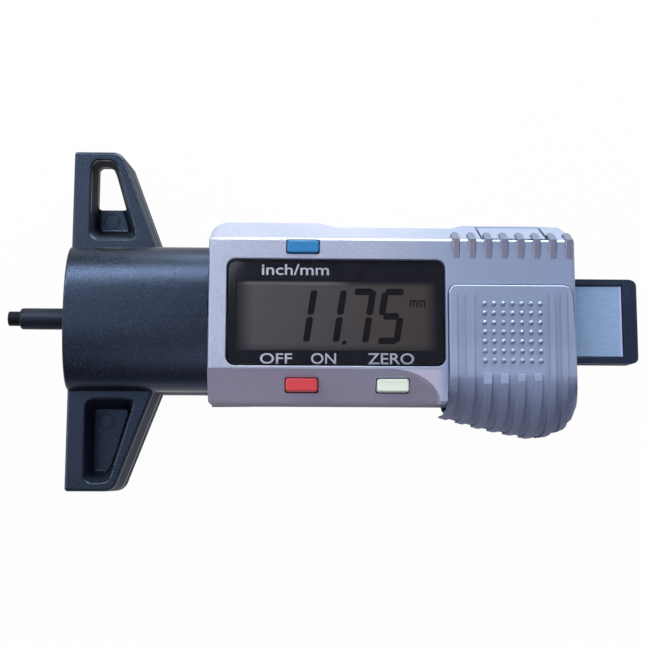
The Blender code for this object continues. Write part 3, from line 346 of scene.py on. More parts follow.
def make_silver_paint(name, base, dark, roll_shade_share=1.0):
    """Flaked paint between two tints, with painted shade towards the grip, painted shade and matt on the roll
    and side wall, and painted light on the slant.
    """
    paint = Finish(name, IOR=1.5)
    grain = paint.noise(GRAIN, detail=3.0, roughness=0.6)
    flakes = paint.noise(1800)
    cloud = paint.noise(60)
    shade = paint.step(grain * 0.7 + cloud * 0.3, 0.36, 0.64)
    along, across, height = [paint.axis(letter) for letter in "XYZ"]
    on_grip = paint.step(along, FACE_X + GRIP_BEGINS[0], FACE_X + GRIP_BEGINS[1])
    # painted shade: the colour turns darker and bluer towards the grip
    shade_toward_grip = paint.step(along, FACE_X + GRIP_SHADE_SPAN[0], FACE_X + GRIP_SHADE_SPAN[1])
    ahead = 1 - on_grip
    # painted shade on the roll's lower side, which is also made matt
    roll_shade_and_matt = on_grip * roll_shade_share * (1 - paint.step(across, *ROLL_SHADE_REACH))
    # painted shade on the side wall below the slant, which is also made matt
    side_wall_shade_and_matt = ahead * (1 - paint.step(across, *SIDE_WALL)) * (1 - paint.step(height, *SIDE_WALL_TOP))
    # painted light: the slant is made lighter and redder
    slant_painted_light = ahead * (1 - paint.step(across, *SLANT_EDGE))
    tint = paint.blend(shade_toward_grip, paint.blend(shade, dark, base), scaled(dark, 0.84, 0.92, 1.0))
    tint = paint.blend(slant_painted_light, tint, scaled(dark, 1.42, 1.24, 1.21))
    tint = paint.blend(side_wall_shade_and_matt, tint, scaled(dark, 0.84, 0.81, 0.74))
    paint.feed("Base Color", paint.blend(roll_shade_and_matt, tint, scaled(dark, 0.70, 0.77, 0.87)))
    matt = roll_shade_and_matt + side_wall_shade_and_matt
    paint.feed("Metallic", 0.48 - 0.38 * matt)
    paint.feed("Roughness", 0.34 + 0.16 * flakes + 0.42 * matt)
    paint.bump(grain + 0.5 * flakes, 0.3, 0.0001)
    return paint.material


silver_paint = make_silver_paint("silver_paint", color(0.37, 0.40, 0.53), color(0.29, 0.32, 0.44))
# Darker copies of the paint: painted shade on the top ribs' wedges and on their tabs.
shaded_rib_paint = make_silver_paint("shaded_rib_paint", color(0.29, 0.27, 0.36), color(0.245, 0.225, 0.30))
shaded_tab_paint = make_silver_paint("shaded_tab_paint", color(0.18, 0.19, 0.26), color(0.15, 0.16, 0.22))
# A lighter copy of the paint: a painted highlight on the flat starts of the short ribs.
highlight_paint = make_silver_paint("highlight_paint", color(0.43, 0.50, 0.68), color(0.36, 0.42, 0.59), 0.0)
print("paint:", silver_paint.name, shaded_rib_paint.name, shaded_tab_paint.name, highlight_paint.name)

# %% [markdown]
# ## Black plastics
# The base is nylon with glass in it, almost black with a blue cast, and pale flecks of glass show in it. The
# upper faces shine softly where the light falls on them. The walls come from a rougher part of the
# spark-eroded mould, so they are duller: a step along the height raises their roughness, but not on the
# floor of the pockets. The beam is the same plastic, a little bluer.

# %% Black plastics
POCKET_BAND = (0.0023, 0.0024, 0.0026, 0.0032)
WALL_FADE = 0.0008


def make_black_plastic(name, base, worn, roughness, wall_top):
    """Flecked plastic that shines on top and is rough on its walls."""
    # The blue specular tint is a painted reflection colour: it tints the shine blue, as a bluish light would.
    plastic = Finish(name, IOR=1.45, Specular_IOR_Level=0.66, Specular_Tint=color(0.39, 0.59, 1.0))
    grain = plastic.noise(3600, detail=3.0, roughness=0.6)
    cloud = plastic.noise(90, detail=3.0)
    fleck = plastic.step(plastic.noise(2700, detail=2.0, roughness=0.6), 0.46, 0.76)
    tint = plastic.blend(plastic.step(cloud, 0.35, 0.7), base, worn)
    plastic.feed("Base Color", plastic.blend(fleck, tint, color(0.019, 0.025, 0.044)))
    height = plastic.axis("Z")
    on_floor = plastic.step(height, *POCKET_BAND[:2]) * (1 - plastic.step(height, *POCKET_BAND[2:]))
    wall = (1 - on_floor) * (1 - plastic.step(height, wall_top - WALL_FADE, wall_top))
    plastic.feed("Roughness", roughness + 0.14 * cloud + 0.5 * wall)
    plastic.bump(grain, 0.22, 0.00012)
    return plastic.material


black_plastic = make_black_plastic("black_plastic", color(0.006, 0.006, 0.008), color(0.010, 0.010, 0.013),
                                   0.21, 0.0096)
beam_plastic = make_black_plastic("beam_plastic", color(0.010, 0.012, 0.020), color(0.014, 0.017, 0.028),
                                  0.30, 0.0105)
print("plastics:", black_plastic.name, beam_plastic.name)

# %% [markdown]
# ## Keys and metals
# The keys are moulded caps in three colours, with a thin clear coat. A metal shows how it was worked: noise
# that is squeezed along one axis becomes the fine lines of turning or rolling.

# %% Keys and metals
def make_key_plastic(name, base, shade):
    plastic = Finish(name, IOR=1.46, Coat_Weight=0.15, Coat_Roughness=0.2)
    plastic.mottle(base, shade, plastic.noise(260, detail=3.0), (0.3, 0.75), 0.36, 0.16)
    plastic.bump(plastic.noise(1600), 0.12, 0.00006)
    return plastic.material


def make_metal(name, base, worn, roughness, squeeze):
    metal = Finish(name, Metallic=1.0)
    brushed = metal.noise(900, detail=4.0, squeeze=squeeze)
    metal.mottle(base, worn, brushed, (0.3, 0.75), roughness, 0.18)
    metal.bump(brushed, 0.15, 0.00005)
    return metal.material


blue_key = make_key_plastic("blue_key", color(0.002, 0.145, 0.365), color(0.003, 0.122, 0.32))
red_key = make_key_plastic("red_key", color(0.55, 0.038, 0.051), color(0.49, 0.033, 0.044))
ivory_key = make_key_plastic("ivory_key", color(0.69, 0.77, 0.68), color(0.64, 0.72, 0.63))
steel = make_metal("steel", color(0.62, 0.62, 0.64), color(0.50, 0.50, 0.53), 0.22, (1.0, 6.0, 1.0))
brass = make_metal("brass", color(0.72, 0.52, 0.22), color(0.60, 0.42, 0.18), 0.25, (1.0, 5.0, 1.0))
probe_metal = make_metal("probe_metal", color(0.024, 0.030, 0.044), color(0.018, 0.022, 0.034),
                         0.46, (0.15, 1.0, 1.0))
tip_metal = make_metal("tip_metal", color(0.014, 0.015, 0.018), color(0.010, 0.011, 0.014),
                       0.45, (0.3, 1.0, 1.0))
print("keys and metals:", blue_key.name, red_key.name, ivory_key.name, steel.name, brass.name)

# %% [markdown]
# ## Window
# Clear plastic bends almost no light in so thin a pane, so a transparent shader is enough, with a glossy one
# over it whose share grows at a flat angle, as a Fresnel node says. Behind the pane lies a black printed
# border, which has no shine of its own under the pane.

# %% Clear window and gloss black
def make_clear():
    clear = Finish("window")
    glass = clear.add("ShaderNodeBsdfTransparent", inputs={"Color": color(0.97, 0.97, 0.99)})
    gloss = clear.add("ShaderNodeBsdfGlossy", inputs={"Roughness": 0.06, "Color": color(0.8, 0.8, 0.9)})
    edge = clear.add("ShaderNodeFresnel", inputs={"IOR": 1.42})
    skin = clear.add("ShaderNodeMixShader", inputs={0: edge, 1: glass, 2: gloss})
    clear.show(skin, "Material Output")
    return clear.material


def make_gloss_black():
    black = Finish("gloss_black", IOR=1.4, Specular_IOR_Level=0.0)
    dust = black.noise(500, detail=3.0)
    black.mottle(color(0.009, 0.009, 0.013), color(0.016, 0.016, 0.022), dust, (0.3, 0.8), 0.32, 0.1)
    return black.material


clear_window = make_clear()
gloss_black = make_gloss_black()
print("window:", clear_window.name, gloss_black.name)

# %% [markdown]
# ## Display
# The display's grey glass reflects the room through a polarising film, so it isn't quite even. A painted
# shade darkens it towards its rim, where the black frame shades it, and it is warmer towards the right.
# Smooth steps along x and y are multiplied to a soft rectangle for that painted shade, and a thin pale strip
# is a painted reflection.

# %% The display's glass
def make_display():
    """Grey glass with a painted shade towards its rim and a painted reflection near its upper left."""
    low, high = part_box("lcd_panel")
    display = Finish("display", IOR=1.35)
    across, up = display.axis("X"), display.axis("Y")
    film = display.noise(220, detail=3.0)
    left = display.step(across, low.x + 0.0002, low.x + 0.0042)
    right = 1 - display.step(across, high.x - 0.0032, high.x - 0.0004)
    bottom = 0.6 + 0.4 * display.step(up, low.y + 0.0010, low.y + 0.0030)
    top = 1 - display.step(up, high.y - 0.0026, high.y - 0.0012)
    # painted shade towards the display's rim
    unshaded_share = left * right * bottom * top * (0.86 + 0.28 * film)
    along = display.step(across, low.x, high.x)
    film_tint = display.blend(along, color(0.163, 0.163, 0.160), color(0.138, 0.109, 0.072))
    lit = display.blend(unshaded_share, color(0.018, 0.016, 0.017), film_tint)
    # painted reflection: a thin pale strip near the upper left
    strip = display.step(up, 0.0056, 0.0061) * (1 - display.step(up, 0.0062, 0.0067))
    strip = strip * display.step(across, low.x + 0.0005, low.x + 0.003)
    strip = strip * (1 - display.step(across, low.x + 0.017, low.x + 0.023))
    display.feed("Base Color", display.blend(strip * 0.8, lit, color(0.50, 0.46, 0.38)))
    display.feed("Roughness", 0.35 + 0.1 * film)
    return display.material


display_grey = make_display()
print("display:", display_grey.name)

# %% [markdown]
# ## Ink and rubber
# Ink and rubber are plain: one colour, slightly uneven, with little shine. The display's figures lie under
# its film, so their index of refraction is close to one and they mirror nothing.

# %% Ink and rubber
def make_flat_ink(name, ink, worn, roughness, ior=1.45, metallic=0.0):
    print_ink = Finish(name, IOR=ior, Metallic=metallic)
    print_ink.mottle(ink, worn, print_ink.noise(1200, detail=3.0), (0.35, 0.75), roughness, 0.15)
    return print_ink.material


segment_ink = make_flat_ink("segment_ink", color(0.004, 0.002, 0.002), color(0.008, 0.004, 0.004),
                            0.7, ior=1.12)
white_ink = make_flat_ink("white_ink", color(0.96, 0.98, 1.0), color(0.88, 0.92, 1.0), 0.3, metallic=0.5)
rubber = make_flat_ink("rubber", color(0.03, 0.03, 0.035), color(0.05, 0.05, 0.055), 0.6)
print("inks:", segment_ink.name, white_ink.name, rubber.name)

# %% [markdown]
# ## Label and circuit board
# The label is a blue foil on the beam, and a paler band at its end is a painted highlight. Squeezed noise
# gives it fibres, and gives the board the weave of its glass cloth.

# %% Label and circuit board
def make_label():
    """Blue foil with a painted highlight at its end."""
    label = Finish("label", IOR=1.45)
    fibre = label.noise(1500, detail=3.0, squeeze=(0.4, 1.6, 1.0))
    end_highlight = label.step(label.axis("X"), FACE_X + 0.1057, FACE_X + 0.1059)
    sheet = label.blend(label.step(fibre, 0.35, 0.7), color(0.204, 0.303, 0.48), color(0.182, 0.270, 0.437))
    # painted highlight on the label's end
    label.feed("Base Color", label.blend(end_highlight, sheet, color(0.33, 0.36, 0.62)))
    label.feed("Roughness", 0.34 + 0.16 * fibre)
    label.bump(fibre, 0.2, 0.00005)
    return label.material


def make_board():
    board = Finish("board", IOR=1.5)
    weave = board.noise(1400, squeeze=(1.0, 3.0, 1.0))
    board.mottle(color(0.012, 0.085, 0.035), color(0.02, 0.12, 0.05), weave, (0.3, 0.7), 0.4, 0.2)
    return board.material


label_ink = make_label()
board_green = make_board()
print("label and board:", label_ink.name, board_green.name)

# %% [markdown]
# ## Base
# The base is one moulding: two wings that lie on the tyre, a neck with an arched back, and a tray inside the
# case that the beam slides in. The neck is a block with its two upper long edges rounded wide. A wing is a
# block whose rear edge is drawn in towards the tip, with a moulding draft of under a millimetre.

# %% The neck
NECK_HALF = 14.0
NECK_TALL = 17.0
NECK_LENGTH = 26.85
NECK_SHOULDER = 8.0
WING_TALL = 10.0
WING_TIP = 32.78
AXIS_Z = (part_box("probe_rod")[0].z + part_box("probe_rod")[1].z) / 2 / MM


def stretch(center, *factors):
    bpy.ops.transform.resize(value=factors, center_override=center)


def round_edges(piece, width, segments, test, profile=0.5):
    """Round the chosen edges of a piece by hand."""
    edit(piece)
    found = pick("edges", test)
    bpy.ops.mesh.bevel(offset=width, segments=segments, profile=profile)
    done()
    return found


def on_shoulder(mid, edge):
    """The two long upper edges of the neck's block."""
    high = mid.z > NECK_TALL - 0.1 and abs(mid.y) > NECK_SHOULDER - 0.1
    return high and abs(mid.x - NECK_LENGTH / 2) < 0.1


neck = block("neck", (0, -NECK_SHOULDER, 0), (NECK_LENGTH, NECK_SHOULDER, NECK_TALL))
round_edges(neck, NECK_SHOULDER - 0.01, 20, on_shoulder, profile=0.54)
edit(neck)
pick_all()
stretch((0, 0, 0), 1, NECK_HALF / NECK_SHOULDER, 1)
done()
round_edges(neck, 0.5, 3, lambda mid, edge: mid.x < 0.01 and mid.z > 0.1)
print("neck:", len(neck.data.polygons), "faces")

# %% [markdown]
# A wing carries the gauge on the tyre's blocks. Its rear edge is drawn in towards the tip by moving corners,
# and the foot comes out a little further than the top, because a moulding needs draft to leave its mould.

# %% One wing
WING_ROOT_X = 17.1
WING_TIP_X = 9.2
WING_DRAFT = 0.75
WING_CORNER = 1.6
WING_EDGE = 0.6
FAR_OUT = 30


def along_z(mid, edge):
    """True for an edge that stands upright."""
    way = edge.verts[0].co - edge.verts[1].co
    return abs(way.z) > 0.9 * way.length


def make_wing(side):
    """A block from inside the neck to the tip, drawn in at the rear and drafted towards the top."""
    root = NECK_HALF - 2
    low, high = sorted((side * root, side * WING_TIP))
    wing = block("wing", (0, low, 0), (WING_ROOT_X, high, WING_TALL))
    edit(wing)
    shift(lambda mid: mid.x > 1 and abs(mid.y) > FAR_OUT, WING_TIP_X - WING_ROOT_X, 0, 0)
    shift(lambda mid: mid.x > 1 and mid.z < 1, WING_DRAFT, 0, 0)
    done()
    for radius, steps, front in ((WING_CORNER, 6, False), (WING_EDGE, 4, True)):
        round_edges(wing, radius, steps, lambda mid, edge: along_z(mid, edge) and abs(mid.y) > FAR_OUT
                    and (mid.x < 1) == front)
    round_edges(wing, WING_EDGE, 4, lambda mid, edge: mid.z > WING_TALL - 0.01 and abs(mid.y) > root + 0.1)
    return wing


upper_wing = make_wing(1)
lower_wing = make_wing(-1)
print("wings:", len(upper_wing.data.polygons), "faces each")

# %% [markdown]
# Each wing is hollowed from above by a pocket, which saves plastic and keeps the wall even. The pocket's
# walls lean, its corners are round, and its floor meets the walls in a soft fillet. The cutter for a pocket
# is a four-cornered block drawn in at the bottom. Only one wing has the eyelet, a hole right through for a
# cord.

# %% Pockets
def carve(piece, cutter, operation="DIFFERENCE"):
    """Take the cutter's shape out of a piece, or add it, and throw the cutter away."""
    apply_modifier(piece, "carve", "BOOLEAN", operation=operation, solver="MANIFOLD", object=cutter)
    bpy.data.objects.remove(cutter)


def put_ring(center, z, corners):
    """Move the four corners that a two-millimetre block has at a height to four places."""
    for (side_x, side_y), (x, y) in zip([(-1, -1), (1, -1), (1, 1), (-1, 1)], corners):
        spot = center + Vector((side_x, side_y, z))
        shift(lambda mid: (mid - spot).length < 0.01, x - spot.x, y - spot.y, 0)


def pocket_cutter(rim, floor_corners, floor, rim_z, corner_round, fillet):
    """A block from a floor to a rim and one millimetre over it, with its corners on two outlines."""
    center = Vector((WING_MIDDLE[0], math.copysign(WING_MIDDLE[1], rim[0][1]), 0))
    cutter = block("cutter", (center.x - 1, center.y - 1, floor), (center.x + 1, center.y + 1, rim_z))
    edit(cutter)
    put_ring(center, floor, floor_corners)
    put_ring(center, rim_z, rim)
    pick("faces", lambda mid, face: mid.z > rim_z - 0.01)
    bpy.ops.mesh.extrude_region_move(TRANSFORM_OT_translate={"value": (0, 0, 1)})
    done()
    round_edges(cutter, corner_round, 6, lambda mid, edge: abs(edge.verts[0].co.z - edge.verts[1].co.z) > 0.5)
    if fillet:
        round_edges(cutter, fillet, 4, lambda mid, edge: mid.z < floor + 0.01)
    return cutter


POCKET_FLOOR = 2.5
WING_MIDDLE = (6.5, 23.5)
RIM_ROUND = 0.45
UPPER_RIM = [(3.45, 15.6), (12.5, 15.6), (8.1, 31.1), (3.45, 31.1)]
UPPER_FLOOR = [(3.7, 18.0), (10.6, 18.0), (6.6, 31.4), (3.7, 31.4)]
LOWER_RIM = [(3.6, -31.0), (8.2, -31.0), (12.8, -15.5), (3.6, -15.5)]
LOWER_FLOOR = [(3.9, -29.2), (7.5, -29.2), (11.3, -16.6), (3.9, -16.6)]
EYELET_RIM = [(3.65, 22.8), (10.2, 22.8), (6.5, 31.5), (3.65, 31.5)]
EYELET_FOOT = [(3.4, 22.8), (10.2, 22.8), (6.4, 32.0), (3.4, 32.0)]

carve(upper_wing, pocket_cutter(UPPER_RIM, UPPER_FLOOR, POCKET_FLOOR, WING_TALL, 1.4, 0.8))
carve(lower_wing, pocket_cutter(LOWER_RIM, LOWER_FLOOR, POCKET_FLOOR, WING_TALL, 1.2, 0.55))
carve(upper_wing, pocket_cutter(EYELET_RIM, EYELET_FOOT, -0.5, POCKET_FLOOR + 0.3, 0.9, 0))
for wing in (upper_wing, lower_wing):
    round_edges(wing, RIM_ROUND, 3, lambda mid, edge: abs(mid.z - WING_TALL) < 0.02 and 2.5 < mid.x
                and 15 < abs(mid.y) < 31.6 and edge.calc_face_angle(0) > 0.6)
print("pockets cut:", len(upper_wing.data.polygons), "and", len(lower_wing.data.polygons), "faces")

# %% [markdown]
# Pins push a moulding out of its mould, and each leaves a faint ring. A thin torus that is half sunk in the
# pocket's floor looks the same and costs few faces.

# %% Ejector marks
def merge_pieces(first, *others):
    """Join pieces into the first one, as one object."""
    choose(first)
    for other in others:
        other.select_set(True)
    bpy.context.view_layer.objects.active = first
    bpy.ops.object.join()
    return first


def ejector_ring(x, y, radius):
    """The faint ring that an ejector pin leaves on a pocket's floor."""
    choose(None)
    bpy.ops.mesh.primitive_torus_add(location=(x, y, POCKET_FLOOR), major_radius=radius, minor_radius=0.13,
                                     major_segments=28, minor_segments=6)
    return freeze("ring")


marks = merge_pieces(ejector_ring(6.4, 20.6, 1.5), ejector_ring(6.4, -19.3, 1.45))
settle(marks, "ejector_marks", "housing", black_plastic)

# %% [markdown]
# The parts of the base become one closed body by Boolean union, as they are one moulding. The beam's way
# goes through the neck and the tray, and only a round hole for the probe opens the measuring face.

# %% The beam's way
CHANNEL_HALF = 8.5
CHANNEL_LOW = 6.3
CHANNEL_TOP = 10.8
TRAY_HALF = 10.3
TRAY_LOW = 2.1
TRAY_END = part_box("base_foot")[1].x / MM - FACE_X / MM
NOSE_WALL = 3.0
OPEN_TOP = 12
BORE = 2.35
STOP_SLOT = ((44.5, -1.8, 5.1), (73.7, 1.8, 6.6))
SPRING_STARTS = (34.2, 75.2)
SPRING_LENGTH = 15.6

def rod(name, start, end, radius, sides, axis="Z"):
    """A round bar between two points that lie along X or Z."""
    choose(None)
    turn = (0, math.pi / 2, 0) if axis == "X" else (0, 0, 0)
    center = [(a + b) / 2 for a, b in zip(start, end)]
    length = (Vector(end) - Vector(start)).length
    bpy.ops.mesh.primitive_cylinder_add(vertices=sides, radius=radius, depth=length, location=center,
                                        rotation=turn)
    return freeze(name)


tray = block("tray", (NECK_LENGTH - 1, -TRAY_HALF, TRAY_LOW), (TRAY_END, TRAY_HALF, CHANNEL_TOP))
for part in (upper_wing, lower_wing, tray):
    carve(neck, part, "UNION")
for start, end, top in ((NOSE_WALL, NECK_LENGTH, CHANNEL_TOP), (NECK_LENGTH - 0.01, TRAY_END + 1, OPEN_TOP)):
    carve(neck, block("way", (start, -CHANNEL_HALF, CHANNEL_LOW), (end, CHANNEL_HALF, top)))
carve(neck, rod("bore", (-1, 0, AXIS_Z), (NOSE_WALL + 1, 0, AXIS_Z), BORE, 32, "X"))
carve(neck, block("slot", *STOP_SLOT))
for start in SPRING_STARTS:
    carve(neck, block("pocket", (start, -9.8, 7.0), (start + SPRING_LENGTH, -8.4, OPEN_TOP)))
settle(neck, "base_moulding", "housing", black_plastic, ["base_foot"], angle=28)

# %% [markdown]
# ## Case cover
# The cover is a box that has been pared down: the upper long side falls away in a bright slope, the lower
# one in a slant that ends in a quarter arc before the grip. It starts as a block. Cuts across it give
# columns of corners, and moving those corners gives the outline its steps.

# %% The cover's body
CASE_LOW_Y = -16.3
CASE_TOP = 18.5
CASE_FRONT = 26.9
CASE_REAR = 97.4
SKIRT_Z = 2.1
UPPER_CREASE = 14.2
UPPER_KNEE = 9.0
REAR_LEAN = 2.1
LEAN_START = 8.0
CASE_HIGH_Y = 19.2
END_LEAN = 0.2
UPPER_EDGE = [(26.9, 17.4), (28.0, 18.7), (29.7, 19.2), (47.7, 19.2), (51.3, 18.35), (73.3, 18.35),
              (75.6, 18.9), (91.2, 18.9), (94.6, 18.7), (97.4, 16.6)]

def score(point, normal):
    """Cut the whole piece's faces along a plane and keep both sides."""
    pick_all()
    bpy.ops.mesh.bisect(plane_co=point, plane_no=normal)


cover = block("cover", (CASE_FRONT, CASE_LOW_Y, SKIRT_Z), (CASE_REAR, CASE_HIGH_Y, CASE_TOP))
edit(cover)
for x, y in UPPER_EDGE[1:-1]:
    score((x, 0, 0), (1, 0, 0))
score((0, UPPER_CREASE, 0), (0, 1, 0))
score((0, 0, LEAN_START), (0, 0, 1))
for x, y in UPPER_EDGE:
    shift(lambda mid: abs(mid.x - x) < 0.01 and mid.y > 19, 0, y - CASE_HIGH_Y, 0)
shift(lambda mid: mid.y > UPPER_CREASE + 0.5 and mid.z > CASE_TOP - 0.1, 0, 0, UPPER_KNEE - CASE_TOP)
shift(lambda mid: mid.x < CASE_FRONT + 0.01 and mid.z > CASE_TOP - 0.1, END_LEAN, 0, 0)
shift(lambda mid: mid.x > CASE_REAR - 0.01 and mid.z > CASE_TOP - 0.1, -REAR_LEAN, 0, 0)
shift(lambda mid: mid.x > CASE_REAR - 0.01 and UPPER_KNEE - 0.1 < mid.z < CASE_TOP - 0.1, -END_LEAN, 0, 0)
done()
print("cover body:", len(cover.data.polygons), "faces")

# %% [markdown]
# No moulded edge is a knife edge, and a rounded one catches the light. The outer edges are rounded now,
# before openings are cut, because a bevel is clean only while the mesh is simple.

# %% Soft outer edges
def is_outer_edge(mid, edge):
    """Edges of the cover where two faces meet at a clear angle, above the skirt."""
    return mid.z > SKIRT_Z + 0.1 and edge.calc_face_angle(0) > math.radians(18)


round_edges(cover, 0.45, 3, is_outer_edge)
print("rounded:", len(cover.data.polygons), "faces")

# %% [markdown]
# The slant runs along the lower side and ends before the grip in a quarter arc. It's a cut: a tall block is
# given the arc by a bevel, stretched a little, sliced along the slant's plane, and taken out of the cover.

# %% The lower slant
LOWER_CREASE = -10.1
SLANT_DROP = 5.0
SLANT_WIDTH = LOWER_CREASE - CASE_LOW_Y
SLANT_END = 69.9
SLANT_ARC = 9.9
def chop(point, normal):
    """Cut the whole piece along a plane, drop what lies in front of it and close the cut."""
    pick_all()
    bpy.ops.mesh.bisect(plane_co=point, plane_no=Vector(normal).normalized(), use_fill=True, clear_outer=True)


slant_rate = SLANT_DROP / SLANT_WIDTH
slant = block("slant", (20, -30, 0), (SLANT_END, LOWER_CREASE, 30))
round_edges(slant, SLANT_WIDTH, 16, lambda mid, edge: along_z(mid, edge) and mid.x > 60 and mid.y > -20)
edit(slant)
pick("verts", lambda mid, vert: mid.x > SLANT_END - SLANT_WIDTH - 0.01)
stretch((SLANT_END, 0, 0), SLANT_ARC / SLANT_WIDTH, 1, 1)
chop((0, LOWER_CREASE, CASE_TOP), (0, slant_rate, -1))
done()
carve(cover, slant)


def on_crease(mid, edge):
    """The slant's crease and the edge of its arc, but not its two outer ends."""
    near = mid.y < LOWER_CREASE + 0.05 and CASE_FRONT + 0.7 < mid.x < SLANT_END + 0.05 and mid.z > 13
    return near and edge.calc_face_angle(0) > math.radians(12) and abs(mid.y - CASE_LOW_Y) > 0.6


round_edges(cover, 0.25, 2, on_crease)
print("slant cut:", len(cover.data.polygons), "faces")

# %% [markdown]
# The cover is a shell. A smaller block, sliced along the same slopes, hollows it and leaves walls of about
# 1.6 millimetres. Then come the openings for the window, the keys, the door, the tray and the beam's tail.
# The window's rim is rounded by picking the edges that the cut has left.

# %% Openings
def opening(low, high, corner, steps=5):
    """A cutter with rounded upright corners."""
    cutter = block("opening", low, high)
    round_edges(cutter, corner, steps, along_z)
    return cutter


def rim_of(low, high, z):
    """A test for the rim that an opening leaves on the face at a height."""
    slack = 0.05

    def test(mid, edge):
        inside = low[0] - slack < mid.x < high[0] + slack and low[1] - slack < mid.y < high[1] + slack
        return inside and abs(mid.z - z) < 0.03 and edge.calc_face_angle(0) > 0.7

    return test


WINDOW = ((30.4, -9.6), (71.1, 10.35))
UNIT_KEY = (44.55, 12.6)
POWER_KEY = (44.45, -13.05)
ZERO_KEY = (61.35, -13.05)
KEY_HOLE = (6.3, 2.8)
DOOR_SPAN = (77.9, 90.6)

CEILING = 16.9
HOLLOW_START = 28.6
HOLLOW_END = 95.2
HOLLOW_HIGH_Y = 17.2
WALL = 1.6
ABOVE = 25
WINDOW_ROUND = 1.7
KEY_CORNER = 0.45

hollow = block("hollow", (HOLLOW_START, CASE_LOW_Y + WALL, 0), (HOLLOW_END, HOLLOW_HIGH_Y, CEILING))
edit(hollow)
chop((0, UPPER_CREASE - 0.75, CEILING), (0, 1.9, 1))
chop((0, LOWER_CREASE + 0.5, CEILING), (0, -slant_rate, 1))
chop((HOLLOW_END, 0, 8.0), (1, 0, 0.2))
done()
carve(cover, hollow)
carve(cover, opening((*WINDOW[0], 12), (*WINDOW[1], ABOVE), WINDOW_ROUND, 8))
round_edges(cover, 0.22, 2, rim_of(*WINDOW, CASE_TOP))
half_x, half_y = KEY_HOLE[0] / 2, KEY_HOLE[1] / 2
for (x, y), low_z in ((UNIT_KEY, 12), (POWER_KEY, 10), (ZERO_KEY, 10)):
    carve(cover, opening((x - half_x, y - half_y, low_z), (x + half_x, y + half_y, ABOVE), KEY_CORNER))
carve(cover, block("door_way", (DOOR_SPAN[0], UPPER_CREASE + 0.05, 9.95), (DOOR_SPAN[1], ABOVE, ABOVE)))
tray_side = TRAY_HALF + 0.3
carve(cover, block("tray_way", (CASE_FRONT - 1, -tray_side, SKIRT_Z - 1), (30, tray_side, CHANNEL_TOP + 0.3)))
tail_top = CHANNEL_TOP + 0.1
carve(cover, block("tail_way", (94, -CHANNEL_HALF, CHANNEL_LOW), (CASE_REAR + 1, CHANNEL_HALF, tail_top)))
print("openings cut:", len(cover.data.polygons), "faces")

# %% [markdown]
# ## Grip
# The thumb rests on a raised pad that rolls over the lower edge of the case. It is a separate sheet in the
# model: a flat strip whose lower edge is spun through a quarter circle and then drawn down to the back
# plate. Ribs run over the roll. The strip is scored at every rib edge first, so a rib is a column of faces
# that can be raised.

# %% The pad's sheet
PAD_TOP = 18.9
PAD_WALL = 1.7
PAD_LEFT = 71.6
PAD_UPPER_Y = 5.65
ROLL_Y = -11.0
ROLL_Z = 8.0
ROLL_STEPS = 12
GRIP_EDGE = [(71.6, -18.0), (80.0, -20.3), (88.6, -22.0), (91.2, -21.8), (94.6, -20.4), (96.4, -18.8),
             (97.4, -16.5)]
RIB_WIDTH = 1.5
RIB_RAISE = 0.36
RIB_END_Y = 4.0
RIB_STARTS = [PAD_LEFT] + [71.7 + 3.1 * i for i in range(1, 8)]
SHORT_RIBS = range(2, 6)


def edge_y(x):
    """The lower outline of the grip at a distance from the measuring face."""
    for (x0, y0), (x1, y1) in zip(GRIP_EDGE, GRIP_EDGE[1:]):
        if x <= x1:
            return y0 + (y1 - y0) * (x - x0) / (x1 - x0)
    return GRIP_EDGE[-1][1]


choose(None)
pad_middle = ((PAD_LEFT + CASE_REAR) / 2, (PAD_UPPER_Y + ROLL_Y) / 2, PAD_TOP)
bpy.ops.mesh.primitive_plane_add(size=1, location=pad_middle)
bpy.context.object.scale = (CASE_REAR - PAD_LEFT, PAD_UPPER_Y - ROLL_Y, 1)
pad = freeze("pad")
rib_sides = {x for start in RIB_STARTS for x in (start, start + RIB_WIDTH)}
columns = sorted(rib_sides | {x for x, _ in GRIP_EDGE[1:-1]})[1:]
edit(pad)
for x in columns:
    score((x, 0, 0), (1, 0, 0))
for y in (RIB_END_Y, -9.4):
    score((0, y, 0), (0, 1, 0))
pick("edges", lambda mid, edge: mid.y < ROLL_Y + 0.01)
bpy.ops.mesh.spin(steps=ROLL_STEPS, angle=math.radians(-90), center=(0, ROLL_Y, ROLL_Z), axis=(1, 0, 0))
outermost = min(v.co.y for v in bmesh.from_edit_mesh(pad.data).verts)
print("after the spin the outermost corner is at y", round(outermost, 2))
done()

# %% [markdown]
# The spin has made an even quarter circle, but the real outline bulges. So each column of corners is
# stretched outwards until its lowest corner meets the outline. The case leans in towards its rear end, so
# each height of the sheet is drawn in there by its share, and the bend into the roll is smoothed in height.

# %% The roll
LEAN_FROM = 90


def lean_share(z):
    """How far up the leaning part of the rear end a height is, from 0 to 1."""
    return max(0.0, (z - LEAN_START) / (CASE_TOP - LEAN_START))


